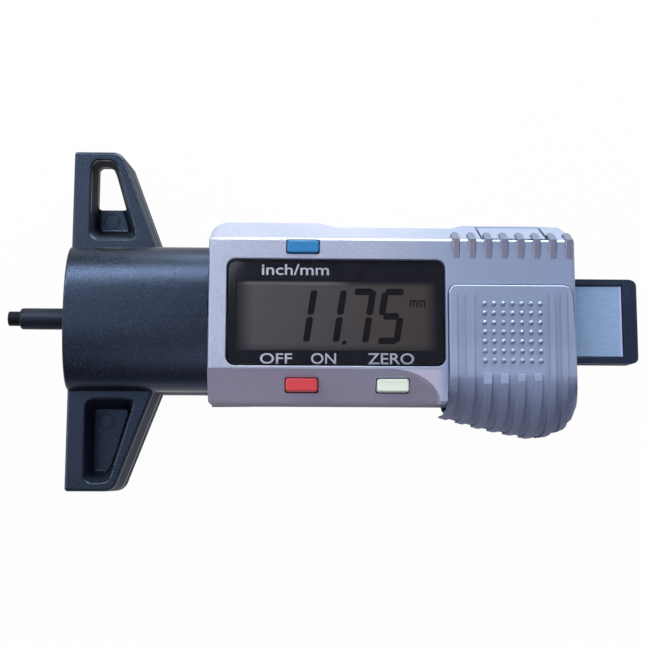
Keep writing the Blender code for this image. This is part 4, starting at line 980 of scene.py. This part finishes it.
edit(pad)
pick("edges", lambda mid, edge: mid.z < ROLL_Z + 0.01 and abs(edge.verts[0].co.z - edge.verts[1].co.z) < 0.01)
bpy.ops.mesh.extrude_region_move(TRANSFORM_OT_translate={"value": (0, 0, SKIRT_Z - ROLL_Z)})
roll_radius = PAD_TOP - ROLL_Z
for x in [PAD_LEFT] + columns + [CASE_REAR]:
    pick("verts", lambda mid, vert: abs(mid.x - x) < 0.005 and mid.y < ROLL_Y - 0.01)
    stretch((x, ROLL_Y, 0), 1, (ROLL_Y - edge_y(x)) / roll_radius, 1)
heights = sorted({round(vert.co.z, 3) for vert in bmesh.from_edit_mesh(pad.data).verts})
for z in heights:
    if lean_share(z):
        pick("verts", lambda mid, vert: abs(mid.z - z) < 0.002 and mid.x > LEAN_FROM)
        stretch((LEAN_FROM, 0, 0), 1 - lean_share(z) * REAR_LEAN / (CASE_REAR - LEAN_FROM), 1, 1)
pick_all()
bpy.ops.mesh.remove_doubles(threshold=0.001)
bpy.ops.mesh.normals_make_consistent(inside=False)
pick("verts", lambda mid, vert: mid.y < -9.3 and mid.z > 14)
bpy.ops.mesh.vertices_smooth(factor=0.5, repeat=2, xaxis=False, yaxis=False, zaxis=True)
done()
if sum(face.normal.z for face in pad.data.polygons) < 0:
    edit(pad)
    pick_all()
    bpy.ops.mesh.flip_normals()
    done()
print("pad:", len(pad.data.polygons), "faces")

# %% [markdown]
# The pad sits in a recess with a narrow groove round it. The recess must follow the pad's own form, so a
# copy of the sheet is grown by the groove, thickened inwards and outwards, and taken out of the cover. Both
# the recess and the pad get the same round corners, and a strip of the case stays at the rear.

# %% Room for the pad
PAD_RIGHT = 94.65
PAD_CORNER = 1.6
PAD_ROUNDS = [(x, PAD_UPPER_Y - PAD_CORNER) for x in (PAD_LEFT + PAD_CORNER, PAD_RIGHT - PAD_CORNER)]
GROOVE = 0.15
ROOM_OUTSIDE = 12.0


def put_in_scene(thing):
    bpy.context.scene.collection.objects.link(thing)
    return thing


def twin(piece, name, place=(0, 0, 0), scale=1.0):
    """A copy with its own mesh, moved and scaled."""
    made = put_in_scene(bpy.data.objects.new(name, piece.data.copy()))
    choose(made)
    made.location = place
    made.scale = (scale, scale, scale)
    return freeze(name)


def trim_corners(piece, grow):
    """Round the two upper corners of the pad or of its room, and keep a strip of the case at the right."""
    strip = block("strip", (PAD_RIGHT + grow, -10.0, 5), (99, PAD_UPPER_Y + 1, 40))
    edit(strip)
    shift(lambda mid: mid.x < 98 and mid.y < 0, 0.9, 0, 0)
    done()
    carve(piece, strip)
    for x, y in PAD_ROUNDS:
        outside = 1 if x > 80 else -1
        low_x, high_x = sorted((x, x + outside * (PAD_CORNER + 1)))
        corner = block("corner", (low_x, y, 5), (high_x, y + PAD_CORNER + 1, 40))
        carve(corner, rod("round", (x, y, 4), (x, y, 41), PAD_CORNER + grow, 48))
        carve(piece, corner)


room = twin(pad, "room")
edit(room)
shift(lambda mid: mid.z < SKIRT_Z + 0.01, 0, 0, -5)
shift(lambda mid: mid.x < PAD_LEFT + 0.01, -GROOVE, 0, 0)
shift(lambda mid: mid.y > PAD_UPPER_Y - 0.01, 0, GROOVE, 0)
done()
room_thick = ROOM_OUTSIDE + PAD_WALL + 0.02
apply_modifier(room, "wall", "SOLIDIFY", thickness=room_thick, offset=2 * ROOM_OUTSIDE / room_thick - 1)
trim_corners(room, GROOVE)
carve(cover, room)
settle(cover, "case_cover", "housing", silver_paint, ["front_cover"], angle=28)

# %% [markdown]
# The ribs give the thumb a hold. The faces between two scored lines are picked by their place and pushed out
# along their normals, so a rib follows the roll by itself. The sheet then gets its thickness and its
# corners, and a small bevel softens every sharp edge.

# %% Ribs on the grip
def on_rib(mid):
    """The number of the rib that a point of the sheet is on, or -1."""
    for i, start in enumerate(RIB_STARTS):
        lean = lean_share(mid.z) * REAR_LEAN / (CASE_REAR - LEAN_FROM)
        low, high = [x - max(0.0, x - LEAN_FROM) * lean for x in (start, start + RIB_WIDTH)]
        if low < mid.x < high:
            limit = ROLL_Y if i in SHORT_RIBS else RIB_END_Y
            return i if mid.y < limit else -1
    return -1


edit(pad)
raised = pick("faces", lambda mid, face: on_rib(mid) >= 0)
bpy.ops.mesh.extrude_region_shrink_fatten(TRANSFORM_OT_shrink_fatten={"value": RIB_RAISE})
done()
apply_modifier(pad, "wall", "SOLIDIFY", thickness=PAD_WALL, offset=-1.0)
trim_corners(pad, 0.0)


def soften(piece, width, angle=30):
    """Round every edge that is sharper than an angle."""
    apply_modifier(piece, "soft_edges", "BEVEL", width=width, segments=2, limit_method="ANGLE",
                   angle_limit=math.radians(angle), use_clamp_overlap=True, harden_normals=True)


def on_rim(mid, edge):
    """True for an upper edge of the flat pad's outline."""
    if mid.z < PAD_TOP - 0.05 or mid.y < ROLL_Y or edge.calc_face_angle(0) < 1:
        return False
    if abs(mid.x - PAD_LEFT) < 0.02 or abs(mid.y - PAD_UPPER_Y) < 0.02 or mid.x > PAD_RIGHT - 0.02:
        return True
    return any(abs(math.hypot(mid.x - x, mid.y - y) - PAD_CORNER) < 0.05 for x, y in PAD_ROUNDS)


print("rim edges rounded:", round_edges(pad, 0.3, 3, on_rim))
soften(pad, 0.17, angle=38)
print("ribs raised on", raised, "faces")
settle(pad, "grip_pad", "housing", silver_paint, angle=38)

# %% [markdown]
# The middle ribs begin where the roll does. Each starts with a small flat face that catches the light, so a
# little plate with a lowered front edge sits on the pad there. The plate's paler paint is a painted highlight.

# %% Flat starts of the short ribs
PLATE_WIDE = RIB_WIDTH + 0.1
PLATE_DEEP = 1.8
PLATE_RAISE = 0.44
PLATE_SINK = 1.2
PLATE_DROP = 0.30
PLATE_ROUND = 0.16


def make_rib_start(x):
    """A small flat plate where a short rib leaves the pad's flat."""
    low = (x, ROLL_Y - PLATE_DEEP, PAD_TOP - PLATE_SINK)
    plate = block("plate", low, (x + PLATE_WIDE, ROLL_Y, PAD_TOP + PLATE_RAISE))
    edit(plate)
    shift(lambda mid: mid.y < ROLL_Y - 1 and mid.z > PAD_TOP, 0, 0, -PLATE_DROP)
    done()
    round_edges(plate, PLATE_ROUND, 2, lambda mid, edge: mid.z > PAD_TOP - 0.5)
    return plate


plates = [make_rib_start(RIB_STARTS[i] - 0.05) for i in SHORT_RIBS]
# the plates wear the lighter paint, a painted highlight
settle(merge_pieces(*plates), "short_rib_starts", "housing", highlight_paint)

# %% [markdown]
# The pad's flat part has a field of small round bumps. One dome is modelled, and the others are its copies.

# %% Bumps
BUMP_FIRST = (78.2, 2.1)
BUMP_PITCH = (1.72, 1.77)
BUMP_ROWS = 7
BUMP_RADIUS = 0.46
BUMP_FLATTEN = 0.75

choose(None)
bpy.ops.mesh.primitive_uv_sphere_add(segments=16, ring_count=8, radius=BUMP_RADIUS,
                                     location=(*BUMP_FIRST, PAD_TOP))
dome = freeze("dome")
edit(dome)
chop((0, 0, PAD_TOP - 0.1), (0, 0, -1))
pick_all()
stretch((0, 0, PAD_TOP), 1, 1, BUMP_FLATTEN)
done()
copies = [twin(dome, "bump", (BUMP_PITCH[0] * i, -BUMP_PITCH[1] * j, 0))
          for i in range(BUMP_ROWS) for j in range(BUMP_ROWS) if i or j]
bumps = merge_pieces(dome, *copies)
settle(bumps, "grip_bumps", "housing", silver_paint, angle=50)

# %% [markdown]
# Eight short ribs sit on the upper crease. Each is a wedge that rises towards the crease, and ends in a
# rounded tab on the slope. The four in the middle have their tabs on the battery door, so they are cut at
# the door's seam and the tabs move with it.

# %% Top ribs
TOP_RIB_STARTS = [72.4 + 3.03 * i for i in range(8)]
TOP_RIB_WIDTH = 1.45
TOP_RIB_START = 10.4
TOP_RIB_END = 16.1
TOP_RIB_RAISE = 0.5
TOP_RIB_SINK = 0.4
WEDGE_ROUND = 0.26
TAB_ROUND = 0.6
TAB_EDGE = 0.12
TAB_SEAM = 0.08
SLOPE_FOOT_Y = 18.85
slope_rate = (CASE_TOP - UPPER_KNEE) / (SLOPE_FOOT_Y - UPPER_CREASE)


def on_door(start):
    return DOOR_SPAN[0] < start and start + TOP_RIB_WIDTH < DOOR_SPAN[1]


def make_wedge(start):
    """The part of a rib on the flat top: its face rises to the crease."""
    top = CASE_TOP + TOP_RIB_RAISE
    low = (start, TOP_RIB_START, CASE_TOP - TOP_RIB_SINK)
    wedge = block("wedge", low, (start + TOP_RIB_WIDTH, UPPER_CREASE, top))
    edit(wedge)
    shift(lambda mid: mid.y < TOP_RIB_START + 0.01 and mid.z > CASE_TOP, 0, 0, -TOP_RIB_RAISE - 0.02)
    done()
    round_edges(wedge, WEDGE_ROUND, 3, lambda mid, edge: mid.z > CASE_TOP - 0.1 and mid.y < UPPER_CREASE - 0.1)
    return wedge


def make_tab(start):
    """The part of a rib on the slope."""
    low_z = CASE_TOP - slope_rate * (TOP_RIB_END - UPPER_CREASE)
    top = CASE_TOP + TOP_RIB_RAISE
    low = (start, UPPER_CREASE + TAB_SEAM, low_z - 0.6)
    tab = block("tab", low, (start + TOP_RIB_WIDTH, TOP_RIB_END, top))
    round_edges(tab, TAB_ROUND, 5, lambda mid, edge: along_z(mid, edge) and mid.y > TOP_RIB_END - 0.1)
    edit(tab)
    chop((0, UPPER_CREASE, top), (0, slope_rate * 0.75, 1))
    chop((0, UPPER_CREASE, CASE_TOP - 0.9), (0, -slope_rate, -1))
    done()
    round_edges(tab, TAB_EDGE, 2, lambda mid, edge: edge.calc_face_angle(0) > 0.6
                and mid.z > CASE_TOP - slope_rate * (mid.y - UPPER_CREASE) + 0.1)
    return tab


def settle_ribs(ribs, name, body, finish):
    settle(merge_pieces(*ribs), name, body, finish)


fixed, loose = [[start for start in TOP_RIB_STARTS if on_door(start) == moves] for moves in (False, True)]
# The wedges and the tabs wear darker copies of the paint, a painted shade.
settle_ribs([make_wedge(start) for start in TOP_RIB_STARTS], "top_rib_wedges", "housing", shaded_rib_paint)
settle_ribs([make_tab(start) for start in fixed], "top_rib_tabs", "housing", shaded_tab_paint)
settle_ribs([make_tab(start) for start in loose], "door_rib_tabs", "door", shaded_tab_paint)

# %% [markdown]
# ## Parts that keep the working model's shape
# Some parts are right as they are, apart from their knife-sharp edges. A copy of the mesh is merged, its
# flat faces are joined again, and a bevel rounds its edges.

# %% Softened copies
def draw_under_grip():
    """In edit mode, move the plate's edge a little way in under the grip."""
    shift(lambda mid: mid.y < CASE_LOW_Y - 0.1, 0, 0.45, 0)
    shift(lambda mid: CASE_LOW_Y - 2.5 < mid.y < CASE_LOW_Y + 0.1 and 70 < mid.x < 73, 0.9, 0.5, 0)


def round_tail():
    """In edit mode, round the beam's two cut corners at the tail."""
    pick("edges", lambda mid, edge: along_z(mid, edge) and mid.x > 106.8 and abs(mid.y) > 6)
    bpy.ops.mesh.bevel(offset=0.62, segments=4)


def softened_copy(node, name, body, finish, width, change=None):
    """A copy of a part of the working model with its triangles joined and its edges rounded."""
    copy = twin(frame["nodes"][node], name, (-FACE_X / MM, 0, 0), 1 / MM)
    edit(copy)
    pick_all()
    bpy.ops.mesh.remove_doubles(threshold=0.002)
    bpy.ops.mesh.dissolve_limited(angle_limit=math.radians(1))
    if change:
        change()
    done()
    soften(copy, width)
    settle(copy, name, body, finish, [node], angle=30)


softened_copy("battery_door", "battery_door_cover", "door", silver_paint, 0.15)
softened_copy("beam", "beam_bar", "slider", beam_plastic, 0.3, round_tail)
softened_copy("back_cover", "back_plate", "housing", black_plastic, 0.3, draw_under_grip)
softened_copy("scale_label", "beam_label", "slider", label_ink, 0.03)

# %% [markdown]
# ## Keys
# A key is a small moulded cap with round corners. Under the cover it has a lip that keeps it from falling
# out, and the switch below pushes it up again.

# %% Key caps
KEY_PLAY = 0.2
LIP_REACH = 0.9
LIP_THICK = 0.5
KEY_TOP_ROUND = 0.32


def make_key(word, place, top, inward, finish):
    """A key cap with its lip, in place of the working model's plain key."""
    x, y = place
    stands_for = "button_" + word
    low_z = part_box(stands_for)[0].z / MM
    half_x = KEY_HOLE[0] / 2 - KEY_PLAY
    half_y = KEY_HOLE[1] / 2 - KEY_PLAY
    cap = block(word, (x - half_x, y - half_y, low_z), (x + half_x, y + half_y, top))
    round_edges(cap, KEY_CORNER, 5, along_z)
    round_edges(cap, KEY_TOP_ROUND, 4, lambda mid, edge: mid.z > top - 0.01)
    lip_y = sorted((y, y + inward * (half_y + LIP_REACH)))
    lip = block("lip", (x - half_x + 0.2, lip_y[0], low_z), (x + half_x - 0.2, lip_y[1], low_z + LIP_THICK))
    carve(cap, lip, "UNION")
    settle(cap, word + "_key_cap", word + "_key", finish, [stands_for])


make_key("unit", UNIT_KEY, 18.9, -1, blue_key)
make_key("power", POWER_KEY, 17.6, 1, red_key)
make_key("zero", ZERO_KEY, 17.6, 1, ivory_key)

# %% [markdown]
# ## Window
# The clear window fills the opening in the cover. The black border is printed behind it, as a thin plate
# with an opening for the display, and the words are printed over that in white.

# %% Window and border
LENS = ((30.7, -9.3, 16.9), (70.8, 10.05, 17.9))
VIEW = ((32.1, -6.6), (69.75, 6.65))
BORDER = ((30.75, -9.25, 16.64), (70.75, 10.0, 16.84))
WINDOW_CORNER = 1.4

lens = block("lens", *LENS)
round_edges(lens, WINDOW_CORNER, 8, along_z)
round_edges(lens, 0.15, 2, lambda mid, edge: mid.z > LENS[1][2] - 0.01)
settle(lens, "window_pane", "housing", clear_window, ["window_lens"])

border = block("border", *BORDER)
round_edges(border, WINDOW_CORNER, 8, along_z)
carve(border, opening((*VIEW[0], 15), (*VIEW[1], 18), 0.5, 4))
settle(border, "window_border", "housing", gloss_black)

# %% [markdown]
# The words say what the keys do. A text object is turned into a mesh, stretched to the box that the word
# fills on the real window, and laid on the border as thin as ink.

# %% Words on the window
INK_THICK = 0.02
INK_SWELL = 0.010
INK_GAP = 0.01


def print_word(name, text, left, low, right, high, ink, height):
    """A word stretched to the box that it fills in the picture."""
    choose(None)
    bpy.ops.object.text_add(location=(0, 0, 0))
    letters = bpy.context.object.data
    letters.body = text
    letters.extrude = INK_THICK / 2
    letters.resolution_u = 4
    letters.offset = INK_SWELL
    bpy.ops.object.convert(target="MESH")
    word = bpy.context.object
    corners = [vert.co for vert in word.data.vertices]
    low_x, high_x = min(c.x for c in corners), max(c.x for c in corners)
    low_y, high_y = min(c.y for c in corners), max(c.y for c in corners)
    edit(word)
    pick_all()
    stretch((low_x, low_y, 0), (right - left) / (high_x - low_x), (high - low) / (high_y - low_y), 1)
    move(left - low_x, low - low_y, height + INK_THICK / 2)
    bpy.ops.mesh.remove_doubles(threshold=0.0005)
    done()
    settle(word, name, "housing", ink)


word_height = BORDER[1][2] + INK_GAP
print_word("word_units", "inch/mm", 36.9, 7.5, 49.45, 9.6, white_ink, word_height)
print_word("word_off", "OFF", 36.7, -9.15, 42.65, -7.17, white_ink, word_height)
print_word("word_on", "ON", 46.15, -9.15, 50.8, -7.11, white_ink, word_height)
print_word("word_zero", "ZERO", 56.7, -9.15, 65.3, -7.05, white_ink, word_height)

# %% [markdown]
# ## Display
# A figure on such a display has up to seven bars, named a to g. A bar is a flat block whose ends are
# chamfered to a blunt point, and the whole number leans by about nine degrees. The reading is the distance
# that the probe stands out of the base, 11.75 mm, as it is in the model at rest.

# %% One bar
DISPLAY_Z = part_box("lcd_panel")[1].z / MM
BAR_WIDTH = 1.25
BAR_THICK = 0.03
DIGIT_TALL = 10.5
DIGIT_WIDE = 4.75
LEAN_RATE = math.tan(math.radians(8.7))
BARS_OF = {"1": "bc", "7": "abc", "5": "afgcd"}
BAR_GAP = 0.005


def make_bar(x, y, length, upright):
    """One bar of a digit, centred on a place."""
    half = (BAR_WIDTH / 2, length / 2) if upright else (length / 2, BAR_WIDTH / 2)
    z = DISPLAY_Z + BAR_GAP
    bar = block("bar", (x - half[0], y - half[1], z), (x + half[0], y + half[1], z + BAR_THICK))
    round_edges(bar, BAR_WIDTH * 0.25, 1, along_z)
    return bar


def make_digit(figure, x, y):
    """The bars of one figure round its middle, before it leans."""
    reach_x = (DIGIT_WIDE - BAR_WIDTH) / 2
    reach_y = (DIGIT_TALL - BAR_WIDTH) / 2
    middle_y = reach_y / 2 + 0.22
    across = DIGIT_WIDE - BAR_WIDTH - 0.6
    places = {
        "a": (x, y + reach_y, across + 0.5, False),
        "g": (x, y, across, False),
        "d": (x, y - reach_y, across + 0.5, False),
        "f": (x - reach_x, y + middle_y - 0.15, reach_y - 0.3, True),
        "b": (x + reach_x, y + middle_y, reach_y, True),
        "c": (x + reach_x, y - middle_y, reach_y, True),
    }
    return [make_bar(*places[letter]) for letter in BARS_OF[figure]]


def lean_over(piece, rate):
    """Shift each row of corners sideways in proportion to its height in the picture."""
    edit(piece)
    rows = sorted({round(vert.co.y, 4) for vert in bmesh.from_edit_mesh(piece.data).verts})
    for y in rows:
        shift(lambda mid: abs(round(mid.y, 4) - y) < 0.00005, rate * y, 0, 0)
    done()

# %% [markdown]
# The display reads 11.75. The four figures and the point are joined to one piece first, so one lean serves
# them all, and the unit beside them is a printed word.

# %% The reading
FIGURES = [("1", 44.25), ("1", 49.8), ("7", 55.3), ("5", 61.15)]
POINT = (53.15, -5.0)
bars = [bar for figure, x in FIGURES for bar in make_digit(figure, x, 0.0)]
bar_low = DISPLAY_Z + BAR_GAP
point = rod("point", (*POINT, bar_low), (*POINT, bar_low + BAR_THICK), 0.42, 20)
number = merge_pieces(*bars, point)
lean_over(number, LEAN_RATE)
settle(number, "reading_bars", "housing", segment_ink)
print_word("reading_unit", "mm", 64.7, 1.75, 67.6, 3.15, segment_ink, bar_low)

# %% [markdown]
# ## Probe and screws
# The probe is a turned rod with a thin tip, which is pushed into the tread. Each step of it is a cylinder
# whose free end is chamfered by a bevel, and the thin part reaches a little into the thick one.

# %% Probe
SHANK_RADIUS = 2.05
STEM_RADIUS = 1.1
NEEDLE_RADIUS = 1.4
PIN_RADIUS = 0.7
STEM_LENGTH = 7.7
NEEDLE_LENGTH = 2.6


def turned(name, start, end, radius, sides, chamfer=0.0):
    """A step of the probe along its axis, chamfered at its start."""
    bar = rod(name, (start, 0, AXIS_Z), (end, 0, AXIS_Z), radius, sides, "X")
    if chamfer:
        round_edges(bar, chamfer, 3, lambda mid, edge: abs(mid.x - start) < 0.01)
    return bar


rod_start, rod_end, tip_start, tip_end = [(corner.x - FACE_X) / MM
                                          for node in ("probe_rod", "probe_tip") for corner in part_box(node)]
shank = turned("shank", rod_start, rod_end - STEM_LENGTH, SHANK_RADIUS, 40, 0.5)
stem = turned("stem", rod_end - STEM_LENGTH - 0.5, rod_end, STEM_RADIUS, 32)
settle(merge_pieces(shank, stem), "probe_shank", "slider", probe_metal, ["probe_rod"])
needle = turned("needle", tip_start, tip_start + NEEDLE_LENGTH, NEEDLE_RADIUS, 40, 0.2)
pin = turned("pin", tip_start + NEEDLE_LENGTH - 0.3, tip_end, PIN_RADIUS, 24)
settle(merge_pieces(needle, pin), "probe_needle", "slider", tip_metal, ["probe_tip"])
print("the probe stands out by", round(-min(rod_start, tip_start), 2), "mm")

# %% [markdown]
# Four screws hold the back plate. A pan head is a short cylinder with one rounded rim, and its cross is two
# blocks taken out of it. The shank is a plain rod, because nobody sees its thread.

# %% Screws
HEAD_TALL = 0.7
CROSS = (1.05, 0.2)
CROSS_DEEP = 0.4
SCREW_RADIUS = 0.8


def make_screw(node):
    """A pan head with a cross recess, and its shank."""
    low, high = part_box(node)
    x = (low.x + high.x) / 2 / MM - FACE_X / MM
    y = (low.y + high.y) / 2 / MM
    foot = low.z / MM
    head = rod("head", (x, y, foot), (x, y, foot + HEAD_TALL), (high.x - low.x) / 2 / MM, 32)
    round_edges(head, 0.25, 3, lambda mid, edge: abs(mid.z - foot) < 0.01)
    for reach_x, reach_y in (CROSS, CROSS[::-1]):
        low_corner = (x - reach_x, y - reach_y, foot - 0.5)
        carve(head, block("cross", low_corner, (x + reach_x, y + reach_y, foot + CROSS_DEEP)))
    carve(head, rod("shaft", (x, y, foot + CROSS_DEEP), (x, y, high.z / MM), SCREW_RADIUS, 16), "UNION")
    settle(head, node + "_cross", "housing", steel, [node])


for i in range(1, 5):
    make_screw(f"case_screw_{i}")

# %% [markdown]
# ## Parts inside
# The display, the board, the cell and the springs show only when the door is off or through the window.
# Their shape is right already, so each only gets its finish.

# %% Parts inside
INNER_FINISHES = [
    (gloss_black, "lcd_bezel", "chip_blob"),
    (display_grey, "lcd_panel"),
    (rubber, "zebra_strip_upper", "zebra_strip_lower"),
    (board_green, "circuit_board"),
    (steel, "switch_unit", "switch_power", "switch_zero", "battery_cell", "slide_spring_front",
     "slide_spring_rear"),
    (brass, "battery_contact_positive", "battery_contact_negative", "scale_strip"),
]
for finish, *nodes in INNER_FINISHES:
    for node in nodes:
        dress(node, finish)
    print(finish.name, "on", nodes)

# %% [markdown]
# ## Floor, light and camera
# The picture has a pure white background. The floor is a plain pale plane: what the camera and the
# reflections see of it is nearly white by itself, and a little of its shading stays, so the gauge keeps its
# shadow.

# %% Floor
GLOW_SHARE = 0.98

choose(None)
bpy.ops.mesh.primitive_grid_add(x_subdivisions=4, y_subdivisions=4, size=6, location=(0, 0, -0.0002))
floor = freeze("floor")
pale = Finish("pale_floor", IOR=1.1)
pale.feed("Base Color", pale.blend(pale.noise(3), color(0.48, 0.48, 0.48), color(0.52, 0.52, 0.52)))
pale.feed("Roughness", 0.8 + 0.1 * pale.noise(5))
white = pale.add("ShaderNodeEmission", inputs={"Color": color(1, 1, 1), "Strength": 1.0})
paint = Wire(pale, pale.shader.outputs[0])
seen_share = pale.seen_directly() * GLOW_SHARE
pale.show(pale.add("ShaderNodeMixShader", inputs={0: seen_share, 1: paint, 2: white}), "Material Output")
floor.data.materials.append(pale.material)
print("floor:", [round(side, 2) for side in floor.dimensions], "m")

# %% [markdown]
# The glossy plastic mirrors its surroundings, so the world has two faces. The camera and the reflections see
# a grey sky over a white horizon, and everything else gets a dim, even light that lifts the shadows.

# %% World
SKY_STOPS = [(0.03, color(1, 1, 1)), (0.14, color(0.20, 0.22, 0.27)), (0.80, color(0.12, 0.135, 0.17)),
             (0.98, color(0.22, 0.24, 0.29))]

world = bpy.data.worlds.new("studio")
bpy.context.scene.world = world
world.use_nodes = True
sky = Nodes(world.node_tree)
even_light = world.node_tree.nodes["Background"]
even_light.inputs["Color"].default_value = color(0.80, 0.84, 1.0)
even_light.inputs["Strength"].default_value = 0.13
place = sky.add("ShaderNodeTexCoord", out="Generated")
height = sky.add("ShaderNodeSeparateXYZ", inputs={0: place}, out="Z")
ramp = sky.add("ShaderNodeValToRGB", {"stops": SKY_STOPS}, {0: height})
view = sky.add("ShaderNodeBackground", inputs={"Color": ramp})
dim = Wire(sky, even_light.outputs[0])
sky.show(sky.add("ShaderNodeMixShader", inputs={0: sky.seen_directly(), 1: dim, 2: view}), "World Output")
print("sky stops:", [position for position, tint in SKY_STOPS])

# %% [markdown]
# Six area lamps light the gauge, each for one thing that the picture shows:
# - `key_lamp`, long and narrow, draws the bright band along the neck and casts the main shadow
# - `slope_lamp`, large and low, makes the upper slope shine
# - `window_lamp` lifts the window and the flat top a little
# - `left_lamp` stands on the probe's side and lights the faces that look that way
# - `sky_lamp`, weak and blue, comes from the tail's side
# - `fill_lamp`, warm and weak, opens the shadows of the lower side

# %% Lamps
def soft_lamp(name, azimuth, elevation, distance, size, power, tint):
    """A rectangular area lamp that looks at the gauge, at two angles in degrees and a distance in metres."""
    a, e = math.radians(azimuth), math.radians(elevation)
    place = Vector((math.cos(a) * math.cos(e), math.sin(a) * math.cos(e), math.sin(e))) * distance
    light = bpy.data.lights.new(name, "AREA")
    light.shape = "RECTANGLE"
    light.size, light.size_y = size
    light.energy = power
    light.color = tint
    lamp = put_in_scene(bpy.data.objects.new(name, light))
    lamp.location = place
    lamp.rotation_euler = (-place).to_track_quat("-Z", "Y").to_euler()


soft_lamp("key_lamp", 119, 45, 0.35, (0.30, 0.055), 1.0, (1.0, 0.98, 0.99))
soft_lamp("slope_lamp", 70, 15, 0.5, (0.44, 0.18), 4.4, (0.94, 1.0, 0.92))
soft_lamp("window_lamp", 152, 65, 0.4, (0.22, 0.22), 0.23, (1.0, 1.0, 1.0))
soft_lamp("left_lamp", 175, 22, 0.4, (0.14, 0.08), 0.46, (0.94, 1.0, 1.0))
soft_lamp("sky_lamp", 25, 50, 0.5, (0.3, 0.3), 0.16, (0.25, 0.62, 1.0))
soft_lamp("fill_lamp", -78, 62, 0.4, (0.25, 0.2), 0.28, (1.0, 0.84, 0.87))

# %% [markdown]
# The camera stands almost straight above the gauge, close enough to show its perspective. Its place, turn
# and lens were found by matching the corners of the base and the case with the picture.

# %% Camera
LENS_LENGTH = 64.19
CAMERA_PLACE = (-0.005356, -0.028785, 0.228953)
CAMERA_TURN = (7.3516, -1.3380, 0.2122)

view = bpy.data.cameras.new("photo_view")
view.sensor_width = 36
view.lens = LENS_LENGTH
camera = put_in_scene(bpy.data.objects.new("photo_view", view))
camera.location = CAMERA_PLACE
camera.rotation_euler = [math.radians(angle) for angle in CAMERA_TURN]
bpy.context.scene.camera = camera
bpy.context.scene.view_settings.view_transform = "Standard"
print("camera height, mm:", round(camera.location.z / MM, 1))
